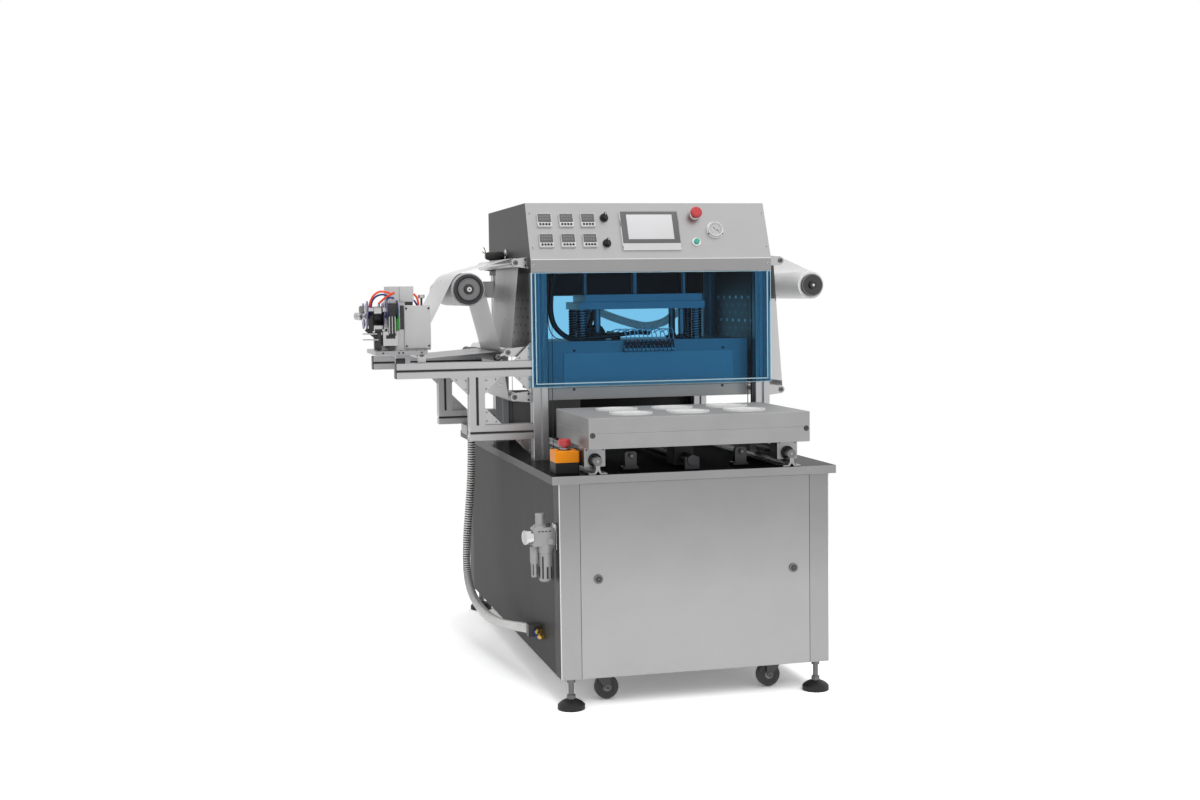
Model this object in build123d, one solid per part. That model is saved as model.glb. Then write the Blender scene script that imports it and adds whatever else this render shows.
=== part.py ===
from build123d import *
from math import atan2, cos, degrees, radians, sin, sqrt, tan
import os

# Vacuum tray sealing machine with a sliding mould, a film feed and a date coder.
# Millimetres. X runs to the right, Y to the back, Z up. Every piece is drawn
# about the cabinet's middle and moved, when it is written, to the origin on the
# floor below the middle of the whole machine.

# Cabinet
CAB_W = 866.0
CAB_D = 1650.0
CAB_BOTTOM = 96.0
CAB_TOP = 693.0
POST_W = 63.0
POST_D = 75.0
PANEL_T = 6.0
PANEL_GAP = 1.6
LOCK_R = 14.0
LOCK_PROUD = 3.0
LOCK_INSET = 54.0
LOCK_Z = 400.0

# Worktop
TOP_SIDE = 22.0
TOP_FRONT = 10.0
TOP_BACK = 55.0
TOP_T = 25.0
TOP_EDGE = 2.0

# Levelling feet
FOOT_IN = 35.0
FOOT_IN_Y = 27.0
PAD_R = 42.0
PAD_RIM = 15.0
PAD_DOME = 17.0
PAD_NECK_R = 13.0
STEM_R = 8.0
NUT_AF = 24.0
NUT_H = 13.0

# Casters
WHEEL_R = 37.5
WHEEL_W = 26.0
WHEEL_LIFT = 4.0
WHEEL_ROUND = 4.0
CASTER_X = 267.0
CASTER_Y = 716.0
CASTER_TRAIL = 22.0
FORK_T = 3.0
FORK_GAP = 5.0
FORK_W = 40.0
SWIVEL_R = 24.0
SWIVEL_HIGH = 5.0
EYE_R = 10.0
CASTER_PLATE = 62.0
CASTER_PLATE_T = 4.0
AXLE_R = 5.0
AXLE_FIT = 0.05

# Grooved aluminium profile
PROFILE = 50.0
SLOT_W = 8.6
SLOT_DEEP = 11.0
PROFILE_EDGE = 1.5

# Station frame
STATION_HALF = 414.0
COLUMN_FRONT = -364.0
COLUMN_BACK = 380.0
COLUMN_TOP = 1340.0
HEAD_PLATE_T = 12.0

# Hood
HOOD_RISE = 223.0
HOOD_LEAN = 79.0
FOLD_RISE = 35.0
LIP_DROP = 6.0
HOOD_WALL = 3.0
HOOD_GAP = 0.5

# Controls on the sloping face, each placed by its X and its height above the fold
CONTROLLER = 48.0
CONTROLLER_PROUD = 8.0
CONTROLLER_X = (-356.5, -282.8, -209.5)
CONTROLLER_UP = (128.2, 60.9)
SCREEN_W = 204.0
SCREEN_H = 142.0
SCREEN_PROUD = 9.0
SCREEN_AT = (1.0, 92.5)
SELECTOR_R = 9.5
SELECTORS = {"selector_upper": (-152.1, 137.6), "selector_lower": (-152.2, 52.2)}
ESTOP_AT = (163.3, 145.6)
START_AT = (157.3, 54.9)
GAUGE_AT = (228.0, 94.6)
GAUGE_R = 30.0
GAUGE_PROUD = 12.0
RING_R = 14.5
RING_PROUD = 5.0
RING_HOLE = 0.4
MUSHROOM_R = 20.0
PRESS = 4.0

# Front guard
GUARD_T = 10.0
GUARD_BOTTOM = 957.0
GUARD_CHAMFER = 3.0

# Side grilles
GRILLE_T = 2.0
GRILLE_IN = 3.0
GRILLE_BOTTOM = 1062.0
GRILLE_HOLE = 9.0
GRILLE_MARGIN = 16.0
GRILLE_FIRST = 35.0
GRILLE_PITCH_Y = 80.0
GRILLE_PITCH_Z = 27.5
GRILLE_ROWS = 7
GRILLE_COLUMNS = 4

# Seal head, crosshead and lift
STATION_Y = -90.0
HEAD_W = 697.0
HEAD_D = 420.0
HEAD_BOTTOM = 930.0
HEAD_TOP = 1105.0
HEAD_WALL = 18.0
COVER_W = 590.0
COVER_LOW = 952.0
COVER_HIGH = 1066.0
COVER_T = 4.0
LIP_T = 4.0
LIP_BOTTOM = 911.0
TERMINAL_X = -1.0
TERMINAL_W = 178.0
TERMINAL_D = 20.0
TERMINAL_LOW = 1069.0
TERMINAL_HIGH = 1100.0
TERMINAL_BASE = 10.0
CROSS_W = 444.0
CROSS_D = 240.0
CROSS_LOW = 1209.0
CROSS_PLATE = 25.0
PILLAR_R = 12.0
PILLAR_X = 150.0
PILLAR_Y = 70.0
SPRING_R = 17.0
SPRING_X = 204.0
GUIDE_R = 10.0
GUIDE_X = 178.0
GUIDE_FIT = 0.05
GUIDE_END = 22.0
LIFT_R = 12.0
LIFT_FIT = 0.5
LIFT_ABOVE = 60.0
HEATER_R = 61.0
HEATER_UP = 30.0
SCREEN_DROP = 85.0

# Tray carriage
CARRIAGE_W = 702.0
CARRIAGE_D = 439.0
CARRIAGE_FRONT = -877.0
CARRIAGE_BOTTOM = 800.0
CARRIAGE_TOP = 893.0
CARRIAGE_SEAM = 846.0
CARRIAGE_EDGE = 1.2
CUP_R = 67.0
CUP_LEDGE = 4.0
CUP_PITCH_X = 184.0
CUP_PITCH_Y = 172.0
CUP_PROUD = 5.0
CUP_SEAT = 60.0
CUP_WALL = 2.0
CUP_FIT = 0.4
LID_DIP = 3.0

# Rails and bearings
RAIL_X = 311.0
RAIL_R = 14.0
RAIL_HIGH = 40.0
RAIL_BASE_W = 57.0
RAIL_FLANGE_T = 5.0
RAIL_NECK = 13.0
RAIL_FOOT = 22.0
RAIL_SHOULDER = 14.0
RAIL_FRONT = -826.0
RAIL_BACK = 340.0
BEARING_W = 66.0
BEARING_L = 65.0
BEARING_LOW = 20.0
BEARING_FIT = 0.05
BEARING_FRONT = -786.0
BEARING_SPAN = 250.0
BEARING_MOUTH = 3.0

# Air cylinder under the carriage
TUBE_R = 17.0
TUBE_HIGH = 28.0
TUBE_FRONT = -790.0
TUBE_BACK = 300.0
TUBE_FOOT_W = 46.0
TUBE_FOOT_L = 14.0
SLIDER_FRONT = -700.0
SLIDER_L = 90.0
SLIDER_W = 60.0
SLIDER_CLEAR = 5.0
STOP_X = 180.0
STOP_Y = -722.0
STOP_W = 38.0
STOP_D = 16.0
STOP_HIGH = 56.0
STOP_ROUND = 8.0

# Film and rollers
FILM_T = 0.5
FILM_FRONT = -294.0
FILM_BACK = 106.0
FILM_OFF = 0.4
GUIDE_ROLL_R = 15.0
JOURNAL_R = 5.0
JOURNAL_FIT = 0.05
BRACKET_T = 6.0
BRACKET_HIGH = 26.0
BRACKET_ROOT = 38.0
ROLL_GAP = 5.0
ROLL_FRONT = -309.0
ROLL_BACK = 325.0
LEFT_ROLL_X = -454.0
RIGHT_ROLL_X = 468.0
HIGH_ROLL_UP = 27.0
ENTRY_X = -464.0
TABLE_ROLL_X = -484.0
TABLE_ROLL_Z = 1074.0
CODER_ROLL_X = -768.0
NIP_ROLL_X = -517.0
NIP_ROLL_Z = 1060.0
NIP_LUG = 18.0
STATION_FILM_Z = 910.0

# Reels
REEL_Z = 1282.0
REEL_FRONT = -325.0
REEL_BACK = 130.0
CORE_R = 38.0
CHUCK_T = 12.0
HUB_R = 13.0
HUB_OUT = 12.0
REEL_SHAFT_R = 12.0
SUPPLY_X = -611.0
SUPPLY_R = 54.0
SUPPLY_CHUCK_R = 49.0
REWIND_X = 582.0
REWIND_R = 47.0
REWIND_CHUCK_R = 29.0
WEB_OVER_REEL = 3.0
ARM_HIGH = 60.0
ARM_T = 30.0

# Left film frame
BEAM_LEFT = -856.0
BEAM_TOP = 1047.0
LOW_BEAM_TOP = 840.0
FRAME_POST_X = -596.0
GUSSET_T = 4.0
GUSSET = 60.0

# Date coder
CODER_FRONT = -440.0
CODER_WIDE_BACK = -323.0
CODER_BACK = -180.0
CODER_BASE_LEFT = -930.0
CODER_BASE_RIGHT = -765.0
CODER_BASE_LOW = 1078.0
CODER_BASE_T = 13.0
CODER_PLATE_Y = -418.0
CODER_PLATE_T = 33.0
CODER_PLATE_LEFT = -832.0
CODER_PLATE_W = 80.0
CODER_PLATE_TOP = 1233.0
CODER_BOX_LEFT = -880.0
CODER_BOX_RIGHT = -824.0
CODER_BOX_D = 150.0
CODER_BOX_LOW = 1246.0
CODER_BOX_TOP = 1294.0
CODER_WALL_T = 6.0
FILM_ROOM = 28.0
SPOOL_Z = 1200.0
SPOOL_R = 42.0
SPOOL_HUB_R = 20.0
SPOOL_W = 54.0
SPOOL_FLANGE_T = 3.0
SPOOL_LEFT = -949.0
SPOOL_FRONT_Y = -360.0
SPOOL_BACK_Y = -260.0
SPINDLE_R = 6.0
KNOB_LEFT = -978.0

# Air unit and conduit
AIR_Y = -762.0
AIR_D = 55.0
AIR_W = 77.0
AIR_LOW = 484.0
AIR_HIGH = 573.0
BOWL_R = 24.0
BOWL_LOW = 391.0
BOWL_IN = 29.0
CONDUIT_R = 16.0
GLAND_T = 4.0
CONDUIT_ROUTE = [(-515, 250, 776), (-516, 252, 690), (-520, 256, 580), (-530, 262, 460), (-540, 262, 350),
                 (-545, 240, 255), (-540, 170, 185), (-525, 60, 150), (-510, -70, 140), (-496, -200, 148),
                 (-482, -320, 165), (-470, -430, 182), (-455, -520, 192)]

# Worktop button box
BOX_LEFT = -427.0
BOX_FRONT = -760.0
BOX_W = 75.0
BOX_D = 85.0
BOX_HIGH = 68.0

# Worked out from the sizes above
WORKTOP = CAB_TOP + TOP_T
TOP_LEFT = -CAB_W / 2 - TOP_SIDE
TOP_FRONT_Y = -CAB_D / 2 - TOP_FRONT
TOP_BACK_Y = CAB_D / 2 + TOP_BACK
HOOD_INNER = STATION_HALF - HOOD_WALL
COLUMN_OUTER = HOOD_INNER - HOOD_GAP
COLUMN_X = COLUMN_OUTER - PROFILE / 2
FRONT_COLUMN_Y = COLUMN_FRONT + PROFILE / 2
BACK_COLUMN_Y = COLUMN_BACK - PROFILE / 2
HOOD_TOP = COLUMN_TOP + HOOD_RISE
HOOD_FOLD = COLUMN_TOP + FOLD_RISE
HOOD_LIP = COLUMN_TOP - LIP_DROP
HIGH_ROLL_Z = COLUMN_TOP + HIGH_ROLL_UP
HOOD_FRONT = COLUMN_FRONT - GUARD_T - HOOD_GAP
HOOD_BACK = COLUMN_BACK + HOOD_WALL + HOOD_GAP
HOOD_SLOPE = degrees(atan2(HOOD_LEAN, HOOD_TOP - HOOD_FOLD))
HEAD_FRONT = STATION_Y - HEAD_D / 2
HEAD_BACK = STATION_Y + HEAD_D / 2
CROSS_SPLIT = CROSS_LOW + CROSS_PLATE
CROSS_HIGH = CROSS_SPLIT + CROSS_PLATE
MOULD_Y = CARRIAGE_FRONT + CARRIAGE_D / 2
SHAFT_Z = WORKTOP + RAIL_HIGH
TUBE_Z = WORKTOP + TUBE_HIGH
AXLE_Z = WHEEL_R + WHEEL_LIFT
WEB_R = GUIDE_ROLL_R + FILM_OFF + FILM_T / 2
ENTRY_Z = STATION_FILM_Z + WEB_R
CODER_TABLE = CODER_BASE_LOW + CODER_BASE_T
BUTTON_X = BOX_LEFT + BOX_W / 2
BUTTON_Y = BOX_FRONT + BOX_D / 2
X_SHIFT = -(KNOB_LEFT + REWIND_X + REWIND_R) / 2
Y_SHIFT = -(CARRIAGE_FRONT + TOP_BACK_Y) / 2


def block(x0, x1, y0, y1, z0, z1):
    """A plain block between two corners."""
    middle = ((x0 + x1) / 2, (y0 + y1) / 2, (z0 + z1) / 2)
    return Pos(*middle) * Box(abs(x1 - x0), abs(y1 - y0), abs(z1 - z0))


def rod_x(x0, x1, y, z, r):
    """A round rod along X."""
    return Pos((x0 + x1) / 2, y, z) * Rot(0, 90, 0) * Cylinder(r, abs(x1 - x0))


def rod_y(x, y0, y1, z, r):
    """A round rod along Y."""
    return Pos(x, (y0 + y1) / 2, z) * Rot(90, 0, 0) * Cylinder(r, abs(y1 - y0))


def rod_z(x, y, z0, z1, r):
    """A round rod along Z."""
    return Pos(x, y, (z0 + z1) / 2) * Cylinder(r, abs(z1 - z0))


def hexagon_z(x, y, z0, z1, across):
    """A hexagonal nut standing on z0."""
    flat = RegularPolygon(across / 2, 6, major_radius=False)
    return Pos(x, y, z0) * extrude(flat, z1 - z0)


def outline_y(points, y0, y1):
    """A closed outline in X and Z, drawn out from y0 to y1."""
    face = make_face(Polyline([(x, 0, z) for x, z in points], close=True))
    return Pos(0, y0, 0) * extrude(face, y1 - y0, dir=(0, 1, 0))


def outline_x(points, x0, x1):
    """A closed outline in Y and Z, drawn out from x0 to x1."""
    face = make_face(Polyline([(0, y, z) for y, z in points], close=True))
    return Pos(x0, 0, 0) * extrude(face, x1 - x0, dir=(1, 0, 0))


def groove_section():
    """The section of the grooved profile, centred."""
    face = RectangleRounded(PROFILE, PROFILE, PROFILE_EDGE)
    slot = Pos(0, PROFILE / 2 - SLOT_DEEP / 2) * Rectangle(SLOT_W, SLOT_DEEP)
    for turn in range(4):
        face -= Rot(0, 0, 90 * turn) * slot
    return face


def profile_z(x, y, z0, z1):
    """A grooved profile standing upright."""
    return Pos(x, y, z0) * extrude(groove_section(), z1 - z0)


def profile_x(x0, x1, y, z):
    """A grooved profile lying along X, its middle at y and z."""
    return Pos(x0, y, z) * Rot(0, 90, 0) * extrude(groove_section(), x1 - x0)


def profile_y(x, y0, y1, z):
    """A grooved profile lying along Y, its middle at x and z."""
    return Pos(x, y0, z) * Rot(-90, 0, 0) * extrude(groove_section(), y1 - y0)


def cabinet_body():
    """The closed cabinet, recessed for the panels on its four sides."""
    half, deep = CAB_W / 2, CAB_D / 2
    body = block(-half, half, -deep, deep, CAB_BOTTOM, CAB_TOP)
    wide = half - POST_W
    long = deep - POST_D
    for side in (-1, 1):
        body -= block(-wide, wide, side * deep, side * (deep - PANEL_T), CAB_BOTTOM, CAB_TOP)
        body -= block(side * half, side * (half - PANEL_T), -long, long, CAB_BOTTOM, CAB_TOP)
    return body


def end_panel(side):
    """The lift-off panel between the corner posts, at the front or the back."""
    wide = CAB_W / 2 - POST_W - PANEL_GAP
    face = side * CAB_D / 2
    panel = block(-wide, wide, face, face - side * PANEL_T, CAB_BOTTOM, CAB_TOP - PANEL_GAP)
    for x in (-wide + LOCK_INSET, wide - LOCK_INSET):
        panel += rod_y(x, face, face + side * LOCK_PROUD, LOCK_Z, LOCK_R)
    return panel


def side_panel(side):
    """The skin of one long side, between the corner posts."""
    long = CAB_D / 2 - POST_D - PANEL_GAP
    face = side * CAB_W / 2
    return block(face, face - side * PANEL_T, -long, long, CAB_BOTTOM, CAB_TOP - PANEL_GAP)


def worktop():
    """The flat top plate, wider than the cabinet all round."""
    plate = block(TOP_LEFT, -TOP_LEFT, TOP_FRONT_Y, TOP_BACK_Y, CAB_TOP, WORKTOP)
    return fillet(plate.edges().filter_by(Axis.Z), TOP_EDGE)


def foot_pad():
    """The domed pad of a foot, turned from half of its section."""
    neck = PAD_RIM + PAD_DOME
    with BuildPart() as pad:
        with BuildSketch(Plane.XZ):
            with BuildLine():
                Line((0, 0), (PAD_R - 2, 0))
                Line((PAD_R - 2, 0), (PAD_R, 2))
                Line((PAD_R, 2), (PAD_R, PAD_RIM))
                ThreePointArc((PAD_R, PAD_RIM), (PAD_R * 0.72, PAD_RIM + PAD_DOME * 0.62), (PAD_NECK_R, neck))
                Line((PAD_NECK_R, neck), (0, neck))
                Line((0, neck), (0, 0))
            make_face()
        revolve(axis=Axis.Z)
    return pad.part


def levelling_feet():
    """Four threaded feet with domed rubber pads."""
    pad = foot_pad()
    neck = PAD_RIM + PAD_DOME
    feet = []
    for side in (-1, 1):
        for end in (-1, 1):
            x = side * (CAB_W / 2 - FOOT_IN)
            y = end * (CAB_D / 2 - FOOT_IN_Y)
            foot = Pos(x, y, 0) * pad
            foot += rod_z(x, y, neck - 1, CAB_BOTTOM, STEM_R)
            foot += hexagon_z(x, y, neck, neck + NUT_H, NUT_AF)
            foot += hexagon_z(x, y, CAB_BOTTOM - NUT_H, CAB_BOTTOM, NUT_AF)
            feet.append(foot)
    return feet


def caster_fork(side, y):
    """A pressed fork with its swivel, its wheel trailing towards the cabinet's middle."""
    x, at = swivel_x(side), side * CASTER_X
    crown = CAB_BOTTOM - CASTER_PLATE_T - SWIVEL_HIGH
    outer = WHEEL_W / 2 + FORK_GAP + FORK_T
    behind, ahead = x + side * FORK_W / 2, at - side * EYE_R
    fork = rod_z(x, y, crown, CAB_BOTTOM - CASTER_PLATE_T, SWIVEL_R)
    fork += block(behind, ahead, y - outer, y + outer, crown - FORK_T, crown)
    cheek = [(behind, crown), (ahead, crown), (ahead, AXLE_Z - 3), (at, AXLE_Z - EYE_R), (at + side * EYE_R, AXLE_Z - 3)]
    for side in (-1, 1):
        near, far = sorted((y + side * (outer - FORK_T), y + side * outer))
        fork += outline_y(cheek, near, far)
    return fork + rod_y(at, y - outer - 4, y + outer + 4, AXLE_Z, AXLE_R)


def caster_wheel(side, y):
    """The tread and hub of one caster, bored for its axle."""
    at = side * CASTER_X
    half = WHEEL_W / 2
    wheel = rod_y(at, y - half, y + half, AXLE_Z, WHEEL_R)
    wheel = fillet(wheel.edges().filter_by(GeomType.CIRCLE), WHEEL_ROUND)
    return wheel - rod_y(at, y - half, y + half, AXLE_Z, AXLE_R + AXLE_FIT)


def caster_plate(side, y):
    """The fixed plate of a caster."""
    x, half = swivel_x(side), CASTER_PLATE / 2
    return block(x - half, x + half, y - half, y + half, CAB_BOTTOM - CASTER_PLATE_T, CAB_BOTTOM)


def swivel_x(side):
    """The swivel centre, outside the wheel's own place by the trail."""
    return side * (CASTER_X + CASTER_TRAIL)


def caster_plates():
    """The plates of the two front casters."""
    return [caster_plate(side, -CASTER_Y) for side in (-1, 1)]


def rear_casters():
    """The two rear casters, whole."""
    pieces = []
    for side in (-1, 1):
        pieces += [caster_plate(side, CASTER_Y), caster_fork(side, CASTER_Y), caster_wheel(side, CASTER_Y)]
    return pieces


def columns():
    """The four grooved columns that carry the hood."""
    places = [(side * COLUMN_X, y) for y in (FRONT_COLUMN_Y, BACK_COLUMN_Y) for side in (-1, 1)]
    return [profile_z(x, y, WORKTOP, COLUMN_TOP) for x, y in places]


def hood_outline(inset):
    """The hood's side outline in Y and Z, moved in by the wall."""
    return [(HOOD_FRONT + inset, HOOD_LIP), (HOOD_FRONT + inset, HOOD_FOLD),
            (HOOD_FRONT + HOOD_LEAN + inset, HOOD_TOP - inset),
            (HOOD_BACK - inset, HOOD_TOP - inset), (HOOD_BACK - inset, HOOD_LIP)]


def hood():
    """The folded sheet hood: sides, top and back, open below."""
    shell = outline_x(hood_outline(0), -STATION_HALF, STATION_HALF)
    shell -= outline_x(hood_outline(HOOD_WALL), -HOOD_INNER, HOOD_INNER)
    return shell - control_panel()


def control_panel():
    """The folded front of the hood, with its sloping face and its lip."""
    front, lean = HOOD_FRONT, HOOD_LEAN
    band = [(front, HOOD_LIP), (front, HOOD_FOLD), (front + lean, HOOD_TOP),
            (front + lean + HOOD_WALL, HOOD_TOP), (front + HOOD_WALL, HOOD_FOLD), (front + HOOD_WALL, HOOD_LIP)]
    return outline_x(band, -STATION_HALF, STATION_HALF)


def head_plate():
    """The thick plate on the columns, holed for the lift rod, with its two guide rods."""
    top = COLUMN_TOP + HEAD_PLATE_T
    plate = block(-HOOD_INNER, HOOD_INNER, HOOD_FRONT + HOOD_WALL, COLUMN_BACK, COLUMN_TOP, top)
    plate -= rod_z(0, STATION_Y, COLUMN_TOP, top, LIFT_R + LIFT_FIT)
    for x in (-GUIDE_X, GUIDE_X):
        plate += rod_z(x, STATION_Y, HEAD_TOP + GUIDE_END, COLUMN_TOP, GUIDE_R)
    return plate


def front_guard():
    """The tinted front guard with polished chamfered edges."""
    face = COLUMN_FRONT - GUARD_T
    sheet = block(-STATION_HALF, STATION_HALF, face, COLUMN_FRONT, GUARD_BOTTOM, HOOD_LIP)
    return chamfer(sheet.faces().sort_by(Axis.Y)[0].edges(), GUARD_CHAMFER)


def on_slope(x, up, shape):
    """Puts a shape drawn facing the front at the origin onto the control face."""
    y = HOOD_FRONT + up * HOOD_LEAN / (HOOD_TOP - HOOD_FOLD)
    return Pos(x, y, HOOD_FOLD + up) * Rot(-HOOD_SLOPE, 0, 0) * shape


def front_edges(shape):
    """The edges of a shape's foremost face."""
    return shape.faces().sort_by(Axis.Y)[0].edges()


def temperature_controllers():
    """Six square controllers in two rows of three."""
    half = CONTROLLER / 2
    bezel = fillet(block(-half, half, -CONTROLLER_PROUD, 0, -half, half).edges().filter_by(Axis.Y), 2)
    bezel = chamfer(front_edges(bezel), 1)
    return [on_slope(x, up, bezel) for up in CONTROLLER_UP for x in CONTROLLER_X]


def touch_screen():
    """The touch screen's frame on the control face."""
    half_w, half_h = SCREEN_W / 2, SCREEN_H / 2
    frame = fillet(block(-half_w, half_w, -SCREEN_PROUD, 0, -half_h, half_h).edges().filter_by(Axis.Y), 5)
    return on_slope(*SCREEN_AT, chamfer(front_edges(frame), 2))


def button_rings():
    """The chrome bezels of the selectors and buttons on the control face."""
    ring = chamfer(front_edges(rod_y(0, -RING_PROUD, 0, 0, RING_R)), 1.5)
    ring -= rod_y(0, -RING_PROUD, 0, 0, SELECTOR_R + RING_HOLE)
    return [on_slope(x, up, ring) for x, up in list(SELECTORS.values()) + [ESTOP_AT, START_AT]]


def selector(x, up):
    """A short-handled selector knob."""
    knob = rod_y(0, -16, 0, 0, SELECTOR_R) + block(-3.5, 3.5, -24, -8, -SELECTOR_R, SELECTOR_R + 1)
    return on_slope(x, up, knob)


def panel_estop():
    """The red mushroom button on the control face."""
    head = rod_y(0, -34, -22, 0, MUSHROOM_R)
    head = fillet(front_edges(head), 8)
    return on_slope(*ESTOP_AT, head + rod_y(0, -23, -PRESS - 1, 0, SELECTOR_R))


def start_button():
    """The green push button."""
    cap = rod_y(0, -13, -PRESS - 1, 0, SELECTOR_R)
    return on_slope(*START_AT, fillet(front_edges(cap), 1.5))


def vacuum_gauge():
    """The round vacuum gauge with its raised rim."""
    body = rod_y(0, -GAUGE_PROUD, 0, 0, GAUGE_R - 4) + rod_y(0, -4, 0, 0, GAUGE_R)
    return on_slope(*GAUGE_AT, body - rod_y(0, -GAUGE_PROUD, 2 - GAUGE_PROUD, 0, GAUGE_R - 7))


def side_grille(side):
    """The perforated side panel between the columns, with square holes."""
    outer = side * (COLUMN_OUTER - GRILLE_IN)
    inner = outer - side * GRILLE_T
    front = COLUMN_FRONT + PROFILE
    sheet = block(outer, inner, front, COLUMN_BACK - PROFILE, GRILLE_BOTTOM, HOOD_LIP)
    half = GRILLE_HOLE / 2
    holes = []
    for row in range(GRILLE_ROWS):
        z = GRILLE_BOTTOM + GRILLE_MARGIN + row * GRILLE_PITCH_Z
        first = front + GRILLE_FIRST + (row % 2) * GRILLE_PITCH_Y / 2
        for step in range(GRILLE_COLUMNS):
            y = first + step * GRILLE_PITCH_Y
            holes.append(block(outer + side, inner - side, y - half, y + half, z - half, z + half))
    return sheet - holes


def rear_screen():
    """The dark sheet across the back of the station."""
    inner = COLUMN_OUTER - PROFILE
    return block(-inner, inner, BACK_COLUMN_Y - 2, BACK_COLUMN_Y + 2, COLUMN_TOP - SCREEN_DROP, COLUMN_TOP)


def seal_head():
    """The sealing chamber, open below, with its front lip and a heater over each cup."""
    half = HEAD_W / 2
    inner = half - HEAD_WALL
    box = block(-half, half, HEAD_FRONT, HEAD_BACK, HEAD_BOTTOM, HEAD_TOP)
    box -= block(-inner, inner, HEAD_FRONT + HEAD_WALL, HEAD_BACK - HEAD_WALL, HEAD_BOTTOM, HEAD_TOP - HEAD_WALL)
    box += block(-half, half, HEAD_FRONT - LIP_T, HEAD_FRONT, LIP_BOTTOM, COVER_LOW - 2)
    for x, y in cup_places(STATION_Y):
        box += rod_z(x, y, HEAD_BOTTOM + HEATER_UP, HEAD_TOP - HEAD_WALL, HEATER_R)
    return box


def head_cover():
    """The cover plate on the front of the sealing chamber."""
    half = COVER_W / 2
    return block(-half, half, HEAD_FRONT - COVER_T, HEAD_FRONT, COVER_LOW, COVER_HIGH)


def terminal_strip():
    """The terminal strip on the front of the sealing chamber, above its cover."""
    left, right = TERMINAL_X - TERMINAL_W / 2, TERMINAL_X + TERMINAL_W / 2
    front = HEAD_FRONT - TERMINAL_D
    strip = block(left, right, front, HEAD_FRONT, TERMINAL_LOW, TERMINAL_LOW + TERMINAL_BASE)
    return strip + block(left + 3, right - 3, front + 6, HEAD_FRONT, TERMINAL_LOW, TERMINAL_HIGH)


def crosshead():
    """Two stacked plates on their pillars, pushed by the lift rod and bored for the guides."""
    half_w, half_d = CROSS_W / 2, CROSS_D / 2
    front, back = STATION_Y - half_d, STATION_Y + half_d
    plates = block(-half_w, half_w, front, back, CROSS_LOW, CROSS_SPLIT)
    plates += block(-half_w + 24, half_w - 6, front + 10, back - 10, CROSS_SPLIT, CROSS_HIGH)
    for x in (-GUIDE_X, GUIDE_X):
        plates -= rod_z(x, STATION_Y, CROSS_LOW, CROSS_HIGH, GUIDE_R + GUIDE_FIT)
    for y in (STATION_Y - PILLAR_Y, STATION_Y + PILLAR_Y):
        for side in (-1, 1):
            plates += rod_z(side * PILLAR_X, y, HEAD_TOP, CROSS_LOW, PILLAR_R)
            plates += rod_z(side * SPRING_X, y, HEAD_TOP, CROSS_LOW, SPRING_R)
    return plates + rod_z(0, STATION_Y, CROSS_HIGH, COLUMN_TOP + LIFT_ABOVE, LIFT_R)


def cup_places(middle):
    """The centres of the two rows of three cups about a middle Y."""
    return [(column * CUP_PITCH_X, middle + row * CUP_PITCH_Y) for row in (-0.5, 0.5) for column in (-1, 0, 1)]


def carriage():
    """The sliding mould: a base plate and the mould plate with six round seats."""
    half = CARRIAGE_W / 2
    back = CARRIAGE_FRONT + CARRIAGE_D
    plates = []
    for low, high in ((CARRIAGE_BOTTOM, CARRIAGE_SEAM), (CARRIAGE_SEAM, CARRIAGE_TOP)):
        plate = block(-half, half, CARRIAGE_FRONT, back, low, high)
        plate = chamfer(plate.edges(), CARRIAGE_EDGE)
        for x, y in cup_places(MOULD_Y):
            plate -= rod_z(x, y, CARRIAGE_TOP - CUP_SEAT, CARRIAGE_TOP, CUP_R - CUP_LEDGE)
        plates.append(plate)
    return plates


def cups():
    """Six filled cups that hang by their rims in the mould."""
    pieces = []
    outer = CUP_R - CUP_LEDGE - CUP_FIT
    rim = CARRIAGE_TOP + CUP_PROUD
    for x, y in cup_places(MOULD_Y):
        cup = rod_z(x, y, CARRIAGE_TOP - CUP_SEAT + 4, CARRIAGE_TOP, outer) + rod_z(x, y, CARRIAGE_TOP, rim, CUP_R)
        pieces.append(cup - rod_z(x, y, rim - LID_DIP, rim, outer - CUP_WALL))
    return pieces


def cylinder_slider():
    """The slider on the cylinder that pushes the carriage."""
    half = SLIDER_W / 2
    back = SLIDER_FRONT + SLIDER_L
    slider = block(-half, half, SLIDER_FRONT, back, WORKTOP + SLIDER_CLEAR, CARRIAGE_BOTTOM)
    return slider - rod_y(0, SLIDER_FRONT, back, TUBE_Z, TUBE_R + BEARING_FIT)


def carriage_bearings():
    """Open linear bearings that wrap the rail shafts, and the slider on the cylinder."""
    pieces = [cylinder_slider()]
    half = BEARING_W / 2
    low = WORKTOP + BEARING_LOW
    mouth = RAIL_NECK / 2 + BEARING_MOUTH
    for x in (-RAIL_X, RAIL_X):
        for y in (BEARING_FRONT, BEARING_FRONT + BEARING_SPAN):
            bearing = block(x - half, x + half, y, y + BEARING_L, low, CARRIAGE_BOTTOM)
            bearing -= rod_y(x, y, y + BEARING_L, SHAFT_Z, RAIL_R + BEARING_FIT)
            pieces.append(bearing - block(x - mouth, x + mouth, y, y + BEARING_L, low, SHAFT_Z))
    return pieces


def rail(x):
    """A round shaft on its continuous aluminium support with spread feet."""
    base, neck, foot = RAIL_BASE_W / 2, RAIL_NECK / 2, RAIL_FOOT / 2
    flange, shoulder = WORKTOP + RAIL_FLANGE_T, WORKTOP + RAIL_SHOULDER
    right = [(foot - 3, WORKTOP), (base, WORKTOP), (base, flange), (foot, flange), (neck, shoulder), (neck, SHAFT_Z)]
    left = [(-px, pz) for px, pz in reversed(right)]
    outline = [(x + px, pz) for px, pz in right + left] + [(x, shoulder - 3)]
    return outline_y(outline, RAIL_FRONT, RAIL_BACK) + rod_y(x, RAIL_FRONT, RAIL_BACK, SHAFT_Z, RAIL_R)


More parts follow.
